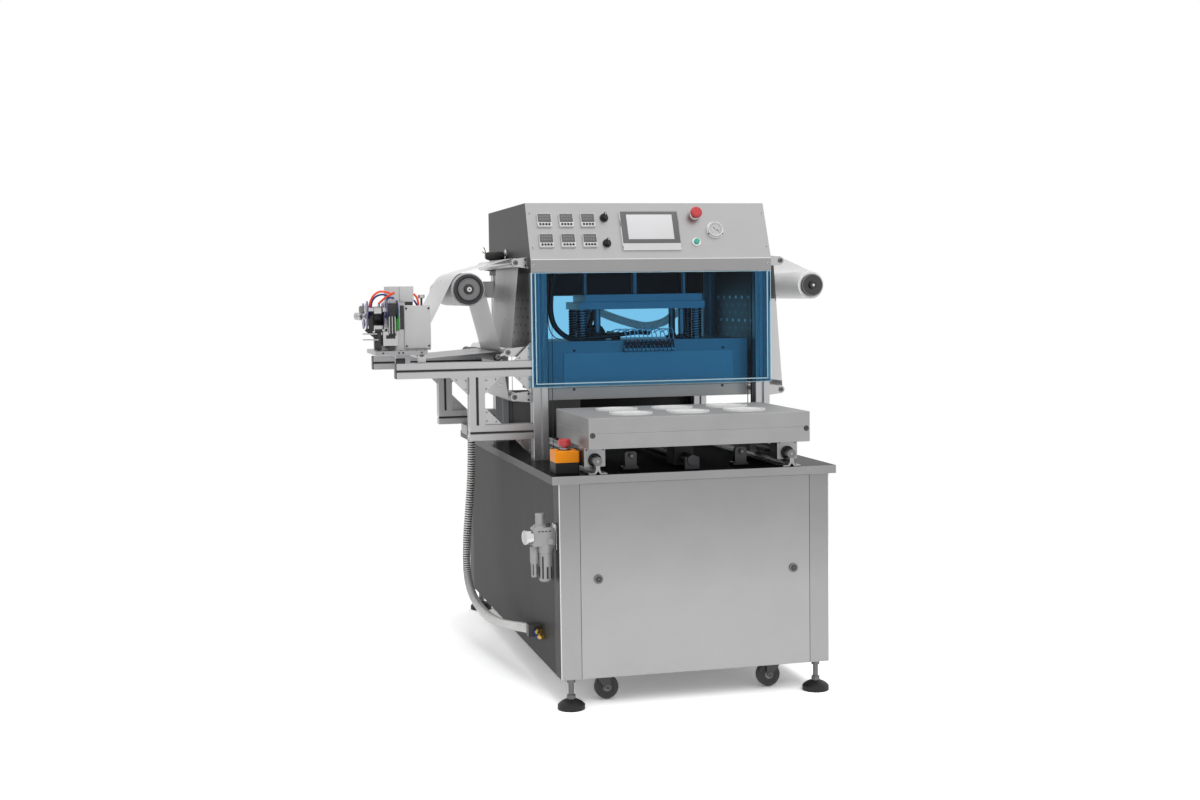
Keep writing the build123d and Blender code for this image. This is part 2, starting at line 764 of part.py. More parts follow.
def slide_cylinder():
    """The rodless cylinder between the rails, on its two feet."""
    tube = rod_y(0, TUBE_FRONT, TUBE_BACK, TUBE_Z, TUBE_R)
    half = TUBE_FOOT_W / 2
    for y in (TUBE_FRONT + 6, TUBE_BACK - 6 - TUBE_FOOT_L):
        tube += block(-half, half, y, y + TUBE_FOOT_L, WORKTOP, TUBE_Z + 10)
    return tube


def stop_brackets():
    """Two round-topped brackets with the screws that the carriage stops on."""
    pieces = []
    half = STOP_W / 2
    for x in (-STOP_X, STOP_X):
        plate = block(x - half, x + half, STOP_Y, STOP_Y + STOP_D, WORKTOP, WORKTOP + STOP_HIGH)
        plate = fillet(plate.faces().sort_by(Axis.Z)[-1].edges().filter_by(Axis.Y), STOP_ROUND)
        pieces.append(plate + block(x - half - 6, x + half + 6, STOP_Y, STOP_Y + 40, WORKTOP, WORKTOP + 8))
    return pieces


def worktop_estop_box():
    """The button box on the worktop, with the collar of its button."""
    top = WORKTOP + BOX_HIGH
    box = block(BOX_LEFT, BOX_LEFT + BOX_W, BOX_FRONT, BOX_FRONT + BOX_D, WORKTOP, top)
    box = fillet(box.edges().filter_by(Axis.Z), 5)
    box = chamfer(box.faces().sort_by(Axis.Z)[-1].edges(), 1.5)
    collar = rod_z(BUTTON_X, BUTTON_Y, top, top + RING_PROUD, RING_R)
    return box + collar - rod_z(BUTTON_X, BUTTON_Y, top, top + RING_PROUD, SELECTOR_R + RING_HOLE)


def worktop_estop():
    """The red mushroom on the button box."""
    base = WORKTOP + BOX_HIGH
    head = rod_z(BUTTON_X, BUTTON_Y, base + 14, base + 35, MUSHROOM_R)
    head = fillet(head.faces().sort_by(Axis.Z)[-1].edges(), 8)
    return head + rod_z(BUTTON_X, BUTTON_Y, base + PRESS + 1, base + 15, SELECTOR_R)


def air_unit():
    """The filter and regulator on the left side of the cabinet."""
    wall = -CAB_W / 2
    front, back = AIR_Y - AIR_D / 2, AIR_Y + AIR_D / 2
    body = block(wall - AIR_W, wall, front, back, AIR_LOW, AIR_HIGH)
    body += rod_z(wall - 50, AIR_Y, AIR_HIGH, AIR_HIGH + 30, 14)
    body += rod_z(wall - BOWL_IN, AIR_Y, BOWL_LOW, AIR_LOW, BOWL_R)
    return body + rod_z(wall - BOWL_IN - 36, AIR_Y, BOWL_LOW + 14, AIR_LOW, 11)


def conduit():
    """The conduit as straight runs joined by arcs."""
    points = [Vector(*p) for p in CONDUIT_ROUTE]
    radii = []
    for before, here, after in zip(points, points[1:], points[2:]):
        turn = (here - before).get_angle(after - here)
        shorter = min((here - before).length, (after - here).length)
        radii.append(0.45 * shorter / tan(radians(turn) / 2))
    path = FilletPolyline(*points, radius=radii)
    print("conduit radii", [round(r) for r in radii], "length", round(path.length))
    start = Plane(origin=path @ 0, z_dir=path % 0)
    tube = sweep(start * Circle(CONDUIT_R), path=path)
    print("conduit volume over section", round(tube.volume / (3.14159 * CONDUIT_R * CONDUIT_R)))
    return tube


def conduit_glands(tube):
    """The fittings that hold the conduit's two ends, bored to seat it."""
    x, y, z = CONDUIT_ROUTE[0]
    wide = CONDUIT_R + GLAND_T
    top = block(x - wide, x + wide, y - wide, BACK_COLUMN_Y, z - 20, LOW_BEAM_TOP - PROFILE)
    x, y, z = CONDUIT_ROUTE[-1]
    low = block(-CAB_W / 2, x - wide, y - 20, y + 16, z - wide, z + wide)
    return [top - tube, low - tube]


def film_frame():
    """The grooved beams and posts of the film frame on the left of the station."""
    right = -COLUMN_OUTER
    low_left = FRAME_POST_X - PROFILE / 2
    pieces = []
    for y in (FRONT_COLUMN_Y, BACK_COLUMN_Y):
        pieces.append(profile_x(BEAM_LEFT, right, y, BEAM_TOP - PROFILE / 2))
        pieces.append(profile_x(low_left, right, y, LOW_BEAM_TOP - PROFILE / 2))
        pieces.append(profile_z(FRAME_POST_X, y, LOW_BEAM_TOP, BEAM_TOP - PROFILE))
    for x, top in ((BEAM_LEFT + PROFILE / 2, BEAM_TOP), (FRAME_POST_X, LOW_BEAM_TOP)):
        pieces.append(profile_y(x, COLUMN_FRONT + PROFILE, COLUMN_BACK - PROFILE, top - PROFILE / 2))
    return pieces


def gusset(x, z, dx, dz, y):
    """One triangular corner plate with its right angle at x and z."""
    corner = [(x, z), (x + dx * GUSSET, z), (x, z + dz * GUSSET)]
    return outline_y(corner, y - GUSSET_T / 2, y + GUSSET_T / 2)


def frame_gussets():
    """Triangular corner plates of the film frame."""
    wall = -COLUMN_OUTER
    under = BEAM_TOP - PROFILE
    base = LOW_BEAM_TOP - PROFILE
    left, right = FRAME_POST_X - PROFILE / 2, FRAME_POST_X + PROFILE / 2
    plates = []
    for y in (FRONT_COLUMN_Y, BACK_COLUMN_Y):
        for x, z, dx, dz in ((wall, under, -1, -1), (wall, BEAM_TOP, -1, 1), (left, under, -1, -1),
                             (right, under, 1, -1), (right, LOW_BEAM_TOP, 1, 1), (wall, base, -1, -1)):
            plates.append(gusset(x, z, dx, dz, y))
    return plates


def guide_rollers():
    """Name and axis of each free-turning guide roller."""
    return {"roller_upper_left": (LEFT_ROLL_X, HIGH_ROLL_Z), "roller_table": (TABLE_ROLL_X, TABLE_ROLL_Z),
            "roller_coder": (CODER_ROLL_X, TABLE_ROLL_Z), "roller_nip": (NIP_ROLL_X, NIP_ROLL_Z), "roller_entry": (ENTRY_X, ENTRY_Z),
            "roller_upper_right": (RIGHT_ROLL_X, HIGH_ROLL_Z), "roller_exit": (RIGHT_ROLL_X, ENTRY_Z)}


def roller(x, z):
    """A plain roller with its two journals."""
    reach = ROLL_GAP + BRACKET_T
    body = rod_y(x, ROLL_FRONT, ROLL_BACK, z, GUIDE_ROLL_R)
    return body + rod_y(x, ROLL_FRONT - reach, ROLL_BACK + reach, z, JOURNAL_R)


def roller_brackets():
    """The bracket pairs that hold the guide rollers' journals; the nip roller hangs from the table's pair."""
    plates = []
    half = BRACKET_HIGH / 2
    hole = JOURNAL_R + JOURNAL_FIT
    for name, (x, z) in guide_rollers().items():
        if name == "roller_nip":
            continue
        wall = STATION_HALF if z > HOOD_LIP else COLUMN_OUTER
        for y in (ROLL_FRONT - ROLL_GAP - BRACKET_T, ROLL_BACK + ROLL_GAP):
            back = y + BRACKET_T
            plate = rod_y(x, y, back, z, half)
            if x == CODER_ROLL_X:
                plate += block(x - half, x + half, y, back, BEAM_TOP, z)
            else:
                foot = wall if x > 0 else -wall
                root = BRACKET_ROOT / 2
                plate += outline_y([(x, z - half), (foot, z - root), (foot, z + root), (x, z + half)], y, back)
            if name == "roller_table":
                lug = NIP_LUG / 2
                plate += rod_y(NIP_ROLL_X, y, back, NIP_ROLL_Z, lug)
                plate += outline_y([(NIP_ROLL_X - lug, NIP_ROLL_Z), (NIP_ROLL_X + lug, NIP_ROLL_Z),
                                    (TABLE_ROLL_X + half, TABLE_ROLL_Z), (TABLE_ROLL_X - half, TABLE_ROLL_Z)], y, back)
                plate -= rod_y(NIP_ROLL_X, y, back, NIP_ROLL_Z, hole)
            plates.append(plate - rod_y(x, y, back, z, hole))
    return plates


def reel(x, r, chuck_r):
    """A wound film reel on its core, and the shaft with the front chuck."""
    front = REEL_FRONT + CHUCK_T
    film = rod_y(x, front, REEL_BACK, REEL_Z, r) - rod_y(x, front, REEL_BACK, REEL_Z, CORE_R)
    shaft = rod_y(x, front, REEL_BACK, REEL_Z, CORE_R)
    shaft += rod_y(x, REEL_FRONT, front, REEL_Z, chuck_r)
    shaft += rod_y(x, REEL_FRONT - HUB_OUT, REEL_FRONT, REEL_Z, HUB_R)
    return [film, shaft + rod_y(x, REEL_BACK, BACK_COLUMN_Y, REEL_Z, REEL_SHAFT_R)]


def reel_arms():
    """The arms on the rear columns that carry the two reel shafts."""
    arms = []
    half = ARM_HIGH / 2
    y = BACK_COLUMN_Y - ARM_T / 2
    for x in (SUPPLY_X, REWIND_X):
        near, far = sorted((x, COLUMN_OUTER if x > 0 else -COLUMN_OUTER))
        arm = block(near, far, y, y + ARM_T, REEL_Z - half, REEL_Z + half) + rod_y(x, y, y + ARM_T, REEL_Z, half)
        arms.append(arm - rod_y(x, y, y + ARM_T, REEL_Z, REEL_SHAFT_R + JOURNAL_FIT))
    return arms


def tangent(x1, z1, r1, x2, z2, r2, side1, side2):
    """The ends of a straight span that touches two circles, on the given side of each."""
    a, b = side1 * r1, side2 * r2
    gap = sqrt((x2 - x1) ** 2 + (z2 - z1) ** 2)
    normal = atan2(z2 - z1, x2 - x1) - atan2(a - b, sqrt(gap * gap - (a - b) ** 2)) + radians(90)
    return ((x1 + a * cos(normal), z1 + a * sin(normal)), (x2 + b * cos(normal), z2 + b * sin(normal)))


def web(start, end):
    """A straight span of film between two points in X and Z."""
    dx, dz = end[0] - start[0], end[1] - start[1]
    long = sqrt(dx * dx + dz * dz)
    nx, nz = -dz / long * FILM_T / 2, dx / long * FILM_T / 2
    corners = [(start[0] + nx, start[1] + nz), (end[0] + nx, end[1] + nz),
               (end[0] - nx, end[1] - nz), (start[0] - nx, start[1] - nz)]
    return outline_y(corners, FILM_FRONT, FILM_BACK)


def wrap(x, z, r, start, stop):
    """Film wrapped round a circle from one touching point to another."""
    first = degrees(atan2(start[1] - z, start[0] - x))
    last = degrees(atan2(stop[1] - z, stop[0] - x))
    ring = rod_y(x, FILM_FRONT, FILM_BACK, z, r + FILM_T / 2) - rod_y(x, FILM_FRONT, FILM_BACK, z, r - FILM_T / 2)
    far = 3 * r
    wedge = [(x, z)]
    for step in range(5):
        angle = radians(first + (last - first) * step / 4)
        wedge.append((x + far * cos(angle), z + far * sin(angle)))
    return ring & outline_y(wedge, FILM_FRONT, FILM_BACK)


def film_supply():
    """The film's spans: reel, table roller, up and over the reel, coder, nip roller, station."""
    upper = (LEFT_ROLL_X, HIGH_ROLL_Z, WEB_R)
    table = (TABLE_ROLL_X, TABLE_ROLL_Z, WEB_R)
    coder = (CODER_ROLL_X, TABLE_ROLL_Z, WEB_R)
    reel_side = (SUPPLY_X, REEL_Z, SUPPLY_R + FILM_OFF + FILM_T / 2)
    over = (SUPPLY_X, REEL_Z, SUPPLY_R + WEB_OVER_REEL)
    rise, touch = tangent(*upper, *over, -1, -1)
    leave, down = tangent(*over, *coder, -1, -1)
    nip = (NIP_ROLL_X, NIP_ROLL_Z, WEB_R)
    entry = (ENTRY_X, ENTRY_Z, WEB_R)
    return [web(*tangent(*reel_side, *table, 1, -1)), web(rise, touch), wrap(*over, touch, leave),
            web(leave, down), web(*tangent(*upper, *table, 1, 1)),
            web(*tangent(*coder, *nip, -1, 1)), web(*tangent(*nip, *entry, 1, -1))]


def film_waste():
    """The film's spans across the station, up, and over to the rewinding reel."""
    upper = (RIGHT_ROLL_X, HIGH_ROLL_Z, WEB_R)
    rewind = (REWIND_X, REEL_Z, REWIND_R + FILM_OFF + FILM_T / 2)
    exit_side = (RIGHT_ROLL_X, ENTRY_Z, WEB_R)
    return [web((ENTRY_X, STATION_FILM_Z), (RIGHT_ROLL_X, STATION_FILM_Z)),
            web(*tangent(*exit_side, *upper, -1, 1)), web(*tangent(*upper, *rewind, 1, 1))]


def coder_base():
    """The coder's base plate on its block, clear of the film, and its print head."""
    edge = CODER_WIDE_BACK
    clear_of_film = CODER_ROLL_X - WEB_R - FILM_ROOM
    base = block(CODER_BASE_LEFT, CODER_BASE_RIGHT, CODER_FRONT, edge, CODER_BASE_LOW, CODER_TABLE)
    base += block(CODER_BASE_LEFT, clear_of_film, edge, CODER_BACK, CODER_BASE_LOW, CODER_TABLE)
    base += block(BEAM_LEFT, clear_of_film, COLUMN_FRONT, edge, BEAM_TOP, CODER_BASE_LOW)
    return base + block(CODER_BOX_LEFT - 40, CODER_BOX_LEFT, -390, -300, CODER_TABLE, CODER_TABLE + 50)


def coder_body():
    """The coder's plate box, the control box above it and the wall with its two spindles."""
    left, back = CODER_BOX_LEFT, CODER_PLATE_Y + CODER_PLATE_T
    right = CODER_PLATE_LEFT + CODER_PLATE_W
    body = block(CODER_PLATE_LEFT, right, CODER_PLATE_Y, back, CODER_TABLE, CODER_PLATE_TOP)
    body += block(left, CODER_PLATE_LEFT, CODER_PLATE_Y, back, CODER_TABLE, CODER_BOX_LOW)
    box_back = CODER_PLATE_Y + CODER_BOX_D
    body += block(left, CODER_BOX_RIGHT, CODER_PLATE_Y, box_back, CODER_BOX_LOW, CODER_BOX_TOP)
    body += block(left, left + CODER_WALL_T, back, CODER_BACK - 40, CODER_TABLE, CODER_BOX_LOW)
    for y in (SPOOL_FRONT_Y, SPOOL_BACK_Y):
        body += rod_x(KNOB_LEFT, left, y, SPOOL_Z, SPINDLE_R)
    return body


def ribbon_spool(y):
    """A ribbon spool with two flanges, bored for its spindle."""
    right = SPOOL_LEFT + SPOOL_W
    spool = rod_x(SPOOL_LEFT, right, y, SPOOL_Z, SPOOL_HUB_R)
    spool += rod_x(SPOOL_LEFT, SPOOL_LEFT + SPOOL_FLANGE_T, y, SPOOL_Z, SPOOL_R)
    spool += rod_x(right - SPOOL_FLANGE_T, right, y, SPOOL_Z, SPOOL_R)
    return spool - rod_x(SPOOL_LEFT, right, y, SPOOL_Z, SPINDLE_R + AXLE_FIT)


def build():
    """Every node with its solids."""
    tube = conduit()
    nodes = {
        "cabinet_body": cabinet_body(),
        "front_panel": end_panel(-1),
        "rear_and_side_panels": [end_panel(1), side_panel(-1), side_panel(1)],
        "worktop": worktop(),
        "levelling_feet": levelling_feet(),
        "caster_plates": caster_plates(),
        "rear_casters": rear_casters(),
        "columns": columns(),
        "hood": hood(),
        "control_panel": control_panel(),
        "head_plate": head_plate(),
        "front_guard": front_guard(),
        "temperature_controllers": temperature_controllers(),
        "touch_screen": touch_screen(),
        "button_rings": button_rings(),
        "panel_estop": panel_estop(),
        "start_button": start_button(),
        "vacuum_gauge": vacuum_gauge(),
        "side_grilles": [side_grille(-1), side_grille(1)],
        "rear_screen": rear_screen(),
        "seal_head": seal_head(),
        "head_cover": head_cover(),
        "terminal_strip": terminal_strip(),
        "crosshead": crosshead(),
        "carriage": carriage(),
        "cups": cups(),
        "carriage_bearings": carriage_bearings(),
        "slide_rails": [rail(-RAIL_X), rail(RAIL_X)],
        "slide_cylinder": slide_cylinder(),
        "stop_brackets": stop_brackets(),
        "worktop_estop_box": worktop_estop_box(),
        "worktop_estop": worktop_estop(),
        "air_unit": air_unit(),
        "conduit": tube,
        "conduit_glands": conduit_glands(tube),
        "film_frame": film_frame(),
        "frame_gussets": frame_gussets(),
        "roller_brackets": roller_brackets(),
        "supply_reel": reel(SUPPLY_X, SUPPLY_R, SUPPLY_CHUCK_R),
        "rewind_reel": reel(REWIND_X, REWIND_R, REWIND_CHUCK_R),
        "reel_arms": reel_arms(),
        "film_supply": film_supply(),
        "film_waste": film_waste(),
        "coder_base": coder_base(),
        "coder_body": coder_body(),
        "ribbon_spool_front": ribbon_spool(SPOOL_FRONT_Y),
        "ribbon_spool_rear": ribbon_spool(SPOOL_BACK_Y),
    }
    for name, place in SELECTORS.items():
        nodes[name] = selector(*place)
    for name, side in (("left", -1), ("right", 1)):
        nodes["caster_fork_" + name] = caster_fork(side, -CASTER_Y)
        nodes["caster_wheel_" + name] = caster_wheel(side, -CASTER_Y)
    for name, place in guide_rollers().items():
        nodes[name] = roller(*place)
    return nodes


def write(nodes):
    """Writes each node, moved to the origin below the middle of the machine."""
    os.makedirs("parts", exist_ok=True)
    to_origin = Pos(X_SHIFT, Y_SHIFT, 0)
    for name, shape in nodes.items():
        solids = shape if isinstance(shape, list) else [shape]
        pieces = [to_origin * solid for piece in solids for solid in piece.solids()]
        export_step(Compound(children=pieces) if len(pieces) > 1 else pieces[0], f"parts/{name}.step")


write(build())
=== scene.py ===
from math import atan2, cos, hypot, pi, radians, sin, sqrt

import bmesh
import bpy
from mathutils import Matrix, Vector, noise


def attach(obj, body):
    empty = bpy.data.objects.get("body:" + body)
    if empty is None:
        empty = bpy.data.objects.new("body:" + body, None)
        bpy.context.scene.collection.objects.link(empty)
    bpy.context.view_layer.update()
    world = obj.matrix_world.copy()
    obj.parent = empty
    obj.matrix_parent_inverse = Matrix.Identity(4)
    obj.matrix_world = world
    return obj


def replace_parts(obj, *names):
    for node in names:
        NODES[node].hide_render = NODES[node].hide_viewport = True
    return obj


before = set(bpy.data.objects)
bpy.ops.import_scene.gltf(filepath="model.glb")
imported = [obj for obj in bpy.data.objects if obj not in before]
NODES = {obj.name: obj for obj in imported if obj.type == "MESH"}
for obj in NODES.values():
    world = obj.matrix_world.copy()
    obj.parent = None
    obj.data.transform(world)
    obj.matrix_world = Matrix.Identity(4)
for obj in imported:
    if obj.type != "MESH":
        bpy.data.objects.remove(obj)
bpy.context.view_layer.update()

# Lengths are millimetres in the machine's own drawing, whose zero is on the floor below the cabinet's middle,
# with X to the right, Y to the rear and Z up. SHIFT moves them to the row frame and MM makes them metres.
SHIFT = Vector((174.5, -1.5, 0.0))
MM = 0.001
RIGHT, LEFT, NEAR, FAR, UP, DOWN = (1, 0, 0), (-1, 0, 0), (0, -1, 0), (0, 1, 0), (0, 0, 1), (0, 0, -1)

# Places that several pieces share
HOOD_FRONT, HOOD_FOLD, HOOD_LEAN, HOOD_SLANT = -374.5, 1375.0, 79.0, 188.0
HOOD_SIDE, STATION_SIDE, GRILLE_SIDE = 414, 410.5, 407.5
COLUMNS_X, COLUMNS_Y = (-360.5, 360.5), (-339, 355)
BEAM_LEFT, BEAM_Z, LOW_BEAM_Z, POST_X, PROFILE_HALF = -856, 1022, 815, -596, 25
RAILS_X, SHAFT_Z = (-311, 311), 758
STATION_Y, HEAD_TOP = -90, 1105.2
SUPPLY, REWIND = (-611, 1282), (582, 1282)
ROLLERS = {"upper_left": (-454, 1367), "table": (-484, 1074), "coder": (-768, 1074), "nip": (-517, 1060),
           "entry": (-464, 925.65), "exit": (468, 925.65), "upper_right": (468, 1367)}
ROLLER_NEAR, ROLLER_FAR = -320, 336
RIBBONS_Y, RIBBON_Z = {"front": -360, "rear": -260}, 1200


def at(x, y, z):
    return (Vector((x, y, z)) + SHIFT) * MM


# Materials

def empty_tree(owner):
    """The node tree of a new material or world, emptied."""
    owner.use_nodes = True
    owner.node_tree.nodes.clear()
    return owner.node_tree


def add(tree, kind, inputs=None, **props):
    """A node of that kind; an input given as a socket is linked, anything else is set."""
    made = tree.nodes.new("ShaderNode" + kind)
    for key, value in props.items():
        setattr(made, key, value)
    for key, value in (inputs or {}).items():
        if isinstance(value, bpy.types.NodeSocket):
            tree.links.new(value, made.inputs[key])
        else:
            made.inputs[key].default_value = value
    return made


def maths(tree, operation, a, b=0.5, c=None, clamp=False):
    inputs = {0: a, 1: b} if c is None else {0: a, 1: b, 2: c}
    return add(tree, "Math", inputs, operation=operation, use_clamp=clamp).outputs[0]


def clouds(tree, where, scale, detail, rough=0.5):
    inputs = {"Vector": where, "Scale": scale, "Detail": detail, "Roughness": rough}
    return add(tree, "TexNoise", inputs).outputs[0]


def blend_colour(tree, fac, a, b):
    return add(tree, "Mix", {0: fac, 6: a, 7: b}, data_type="RGBA").outputs[2]


def blend_value(tree, fac, a, b):
    return add(tree, "Mix", {0: fac, 2: a, 3: b}, data_type="FLOAT").outputs[0]


def blend_shader(tree, fac, a, b):
    return add(tree, "MixShader", {0: fac, 1: a.outputs[0], 2: b.outputs[0]})


def shade(colour, k=1.0):
    """A colour, given as RGB or one grey number, k times as light."""
    channels = (colour,) * 3 if isinstance(colour, float) else colour
    return tuple(min(1.0, max(0.0, c * k)) for c in channels) + (1.0,)


def mask(tree, where, kind, a, b=0.0):
    """A 0 or 1 socket for a part of space, or for faces turned sideways or upward."""
    if kind in ("sideways", "upward"):
        normal = add(tree, "SeparateXYZ", {0: add(tree, "NewGeometry").outputs["Normal"]}).outputs
        across = maths(tree, "ABSOLUTE", normal[0 if kind == "sideways" else 2])
        return maths(tree, "GREATER_THAN", across, a)
    place = add(tree, "SeparateXYZ", {0: where}).outputs
    if kind == "between":
        return maths(tree, "LESS_THAN", maths(tree, "ABSOLUTE", maths(tree, "SUBTRACT", place[0], a)), b)
    axis = {"left_of": 0, "front_of": 1, "behind": 1, "below": 2}[kind]
    return maths(tree, "GREATER_THAN" if kind == "behind" else "LESS_THAN", place[axis], a)


M = {}
EXTRA = {"tint": "Specular Tint", "level": "Specular IOR Level", "coat": "Coat Weight", "alpha": "Alpha"}
GRAIN_SHARE, CONTRAST, CONTRAST_LOW = 0.4, 2.2, -0.6
BUMP_DEPTH, BEVEL_SAMPLES, RUB_HIGHLIGHT_GAIN, RUB_HIGHLIGHT_CLOUDS, RUB_HIGHLIGHT_LIGHTER = 0.0004, 4, 6.0, 1.7, 1.5


def finish(name, colour, rough, metal=0.0, grain=None, mottle=7.0, vary=0.10, rough_vary=0.10, bump=0.08,
           pebble=900.0, edge=None, edge_r=0.0012, splits=(), wear_and_highlight=0.0, painted_shade_fade=None, **extra):
    """A procedural finish in M: cloudy tone, brushed or pebbled detail, soft edges lighter from wear and
    painted highlight.

    splits are (mask words, colour, rough, metal) that repaint part of the surface, some as painted shade.
    fade is (low z, tone there, high z, tone there), painted shade changing the tone up a tall sheet. extra
    sets sockets named in EXTRA.
    """
    M[name] = bpy.data.materials.new(name)
    tree = empty_tree(M[name])
    where = add(tree, "TexCoord").outputs["Object"]
    cloud = clouds(tree, where, mottle, 4.0, 0.6)
    if grain:
        lined = add(tree, "Mapping", {"Vector": where, "Scale": grain}).outputs[0]
        fine = clouds(tree, lined, 1.0, 5.0, 0.75)
    else:
        fine = clouds(tree, where, pebble, 2.0)
    fac = blend_value(tree, GRAIN_SHARE, cloud, fine)
    fac = maths(tree, "MULTIPLY_ADD", fac, CONTRAST, CONTRAST_LOW, clamp=True)
    tone = blend_colour(tree, fac, shade(colour, 1 - vary), shade(colour, 1 + vary))
    gloss = maths(tree, "MULTIPLY_ADD", fac, rough_vary, rough - rough_vary / 2)
    # Painted shade: the tone is scaled with height between two given levels.
    if painted_shade_fade:
        high = add(tree, "SeparateXYZ", {0: where}).outputs[2]
        painted_shade_tone = add(tree, "MapRange", {0: high, 1: painted_shade_fade[0], 2: painted_shade_fade[2], 3: painted_shade_fade[1], 4: painted_shade_fade[3]}).outputs[0]
        tone = add(tree, "VectorMath", {0: tone, 1: (1, 1, 1), 3: painted_shade_tone}, operation="SCALE").outputs[0]
    shine = metal
    for words, split_colour, split_rough, split_metal in splits:
        here = mask(tree, where, *words)
        other = blend_colour(tree, fac, shade(split_colour, 1 - vary), shade(split_colour, 1 + vary))
        tone = blend_colour(tree, here, tone, other)
        gloss = blend_value(tree, here, gloss, split_rough)
        shine = blend_value(tree, here, shine, split_metal)
    relief = {"Height": fine, "Strength": bump, "Distance": BUMP_DEPTH}
    if edge_r:
        relief["Normal"] = add(tree, "Bevel", {"Radius": edge_r}, samples=BEVEL_SAMPLES).outputs[0]
    # Edges painted lighter, partly as wear and partly as a painted highlight.
    if edge_r and wear_and_highlight:
        hard = add(tree, "NewGeometry").outputs["Normal"]
        same = add(tree, "VectorMath", {0: relief["Normal"], 1: hard}, operation="DOT_PRODUCT")
        turned_away = maths(tree, "SUBTRACT", 1.0, same.outputs["Value"])
        rub_and_highlight = maths(tree, "MULTIPLY", turned_away, RUB_HIGHLIGHT_GAIN, clamp=True)
        rub_and_highlight = maths(tree, "MULTIPLY", rub_and_highlight, maths(tree, "MULTIPLY", cloud, RUB_HIGHLIGHT_CLOUDS, clamp=True), clamp=True)
        rubbed_and_highlight_tone = shade(edge) if edge else shade(colour, RUB_HIGHLIGHT_LIGHTER)
        tone = blend_colour(tree, maths(tree, "MULTIPLY", rub_and_highlight, wear_and_highlight), tone, rubbed_and_highlight_tone)
    bumped = add(tree, "Bump", relief).outputs[0]
    body = {"Base Color": tone, "Roughness": gloss, "Metallic": shine, "Normal": bumped}
    for key, value in extra.items():
        body[EXTRA[key]] = shade(value) if key == "tint" else value
    add(tree, "OutputMaterial", {0: add(tree, "BsdfPrincipled", body).outputs[0]})


def tinted_glass(name, tint, edge_highlight_tint, through_tint):
    """Tinted clear sheet in M that lets lamps through, its polished edges painted paler as a painted
    highlight.
    """
    M[name] = bpy.data.materials.new(name)
    tree = empty_tree(M[name])
    where = add(tree, "TexCoord").outputs["Object"]
    gloss = maths(tree, "MULTIPLY", clouds(tree, where, 5.0, 3.0), 0.04)
    sheet = add(tree, "BsdfPrincipled", {"Base Color": shade(tint), "Roughness": gloss, "IOR": 1.2,
                                         "Transmission Weight": 1.0})
    # Painted highlight: the sheet's edge faces are an opaque pale blue.
    highlight_rim = add(tree, "BsdfPrincipled", {"Base Color": shade(edge_highlight_tint), "Roughness": 0.25, "Coat Weight": 0.6})
    normal = add(tree, "SeparateXYZ", {0: add(tree, "NewGeometry").outputs["Normal"]}).outputs[1]
    flat = maths(tree, "GREATER_THAN", maths(tree, "ABSOLUTE", normal), 0.9)
    pane = blend_shader(tree, flat, highlight_rim, sheet)
    through = add(tree, "BsdfTransparent", {"Color": shade(through_tint)})
    path = add(tree, "LightPath").outputs
    bounced = maths(tree, "MAXIMUM", path["Is Diffuse Ray"], path["Is Glossy Ray"])
    bounced = maths(tree, "MAXIMUM", bounced, path["Is Shadow Ray"])
    add(tree, "OutputMaterial", {0: blend_shader(tree, bounced, pane, through).outputs[0]})


ALONG_X, ALONG_Y, ALONG_Z = (3.0, 900.0, 900.0), (900.0, 3.0, 900.0), (900.0, 900.0, 3.0)
ALONG_WEB, ROUND_ROLL = (90.0, 3.0, 90.0), (5.0, 260.0, 5.0)
# Masks for painted shade: faces turned sideways or upward are repainted darker.
SHADED_SIDEWAYS, SHADED_UPWARD = ("sideways", 0.7), ("upward", 0.7)
# Painted shade up the front panels: lighter low down, darker high up.
PAINTED_SHADE_UP_PANEL = (0.35, 1.18, 0.69, 0.83)
BLACK = (0.012, 0.012, 0.013)
ROLL_ENDS = [(("front_of", -0.3145), (0.075, 0.075, 0.078), 0.38, 0.8), (("behind", 0.1290), 0.55, 0.25, 1.0)]

# Sheet metal
finish("front_steel", 0.37, 0.36, 1.0, grain=ALONG_X, vary=0.06, bump=0.05, wear_and_highlight=0.5, painted_shade_fade=PAINTED_SHADE_UP_PANEL)
# Cabinet posts: sideways faces painted near-black as painted shade.
finish("post_steel", 0.34, 0.36, 1.0, grain=ALONG_X, vary=0.06, bump=0.05, wear_and_highlight=0.7, edge=0.8, painted_shade_fade=PAINTED_SHADE_UP_PANEL,
       splits=[(SHADED_SIDEWAYS, 0.045, 0.5, 0.6)])
# Side and rear panels and the hood: the cabinet's steel painted darker as painted shade, darker still below
# 1.3 m.
finish("shaded_steel", 0.172, 0.42, 0.9, grain=ALONG_Y, vary=0.08, bump=0.04, wear_and_highlight=0.7, edge=0.5, tint=0.42,
       splits=[(("below", 1.3), 0.122, 0.42, 0.9)])
# Control panel: the lip below the fold painted darker as painted shade.
finish("panel_steel", 0.53, 0.40, 1.0, grain=ALONG_X, vary=0.06, bump=0.05, wear_and_highlight=0.6, edge=0.8,
       splits=[(("below", 1.3748), 0.35, 0.40, 1.0)])
# Worktop: upward faces painted dark as painted shade; its edges keep the lighter steel.
finish("worktop", 0.32, 0.22, 1.0, grain=ALONG_Y, bump=0.04, wear_and_highlight=0.5, edge=0.8, tint=0.35,
       splits=[(SHADED_UPWARD, 0.11, 0.26, 1.0)])
# A near-black sheet between the rails on the worktop: painted shade.
finish("shade_liner", 0.006, 0.7, vary=0.3, bump=0.2, edge_r=0, level=0.02)
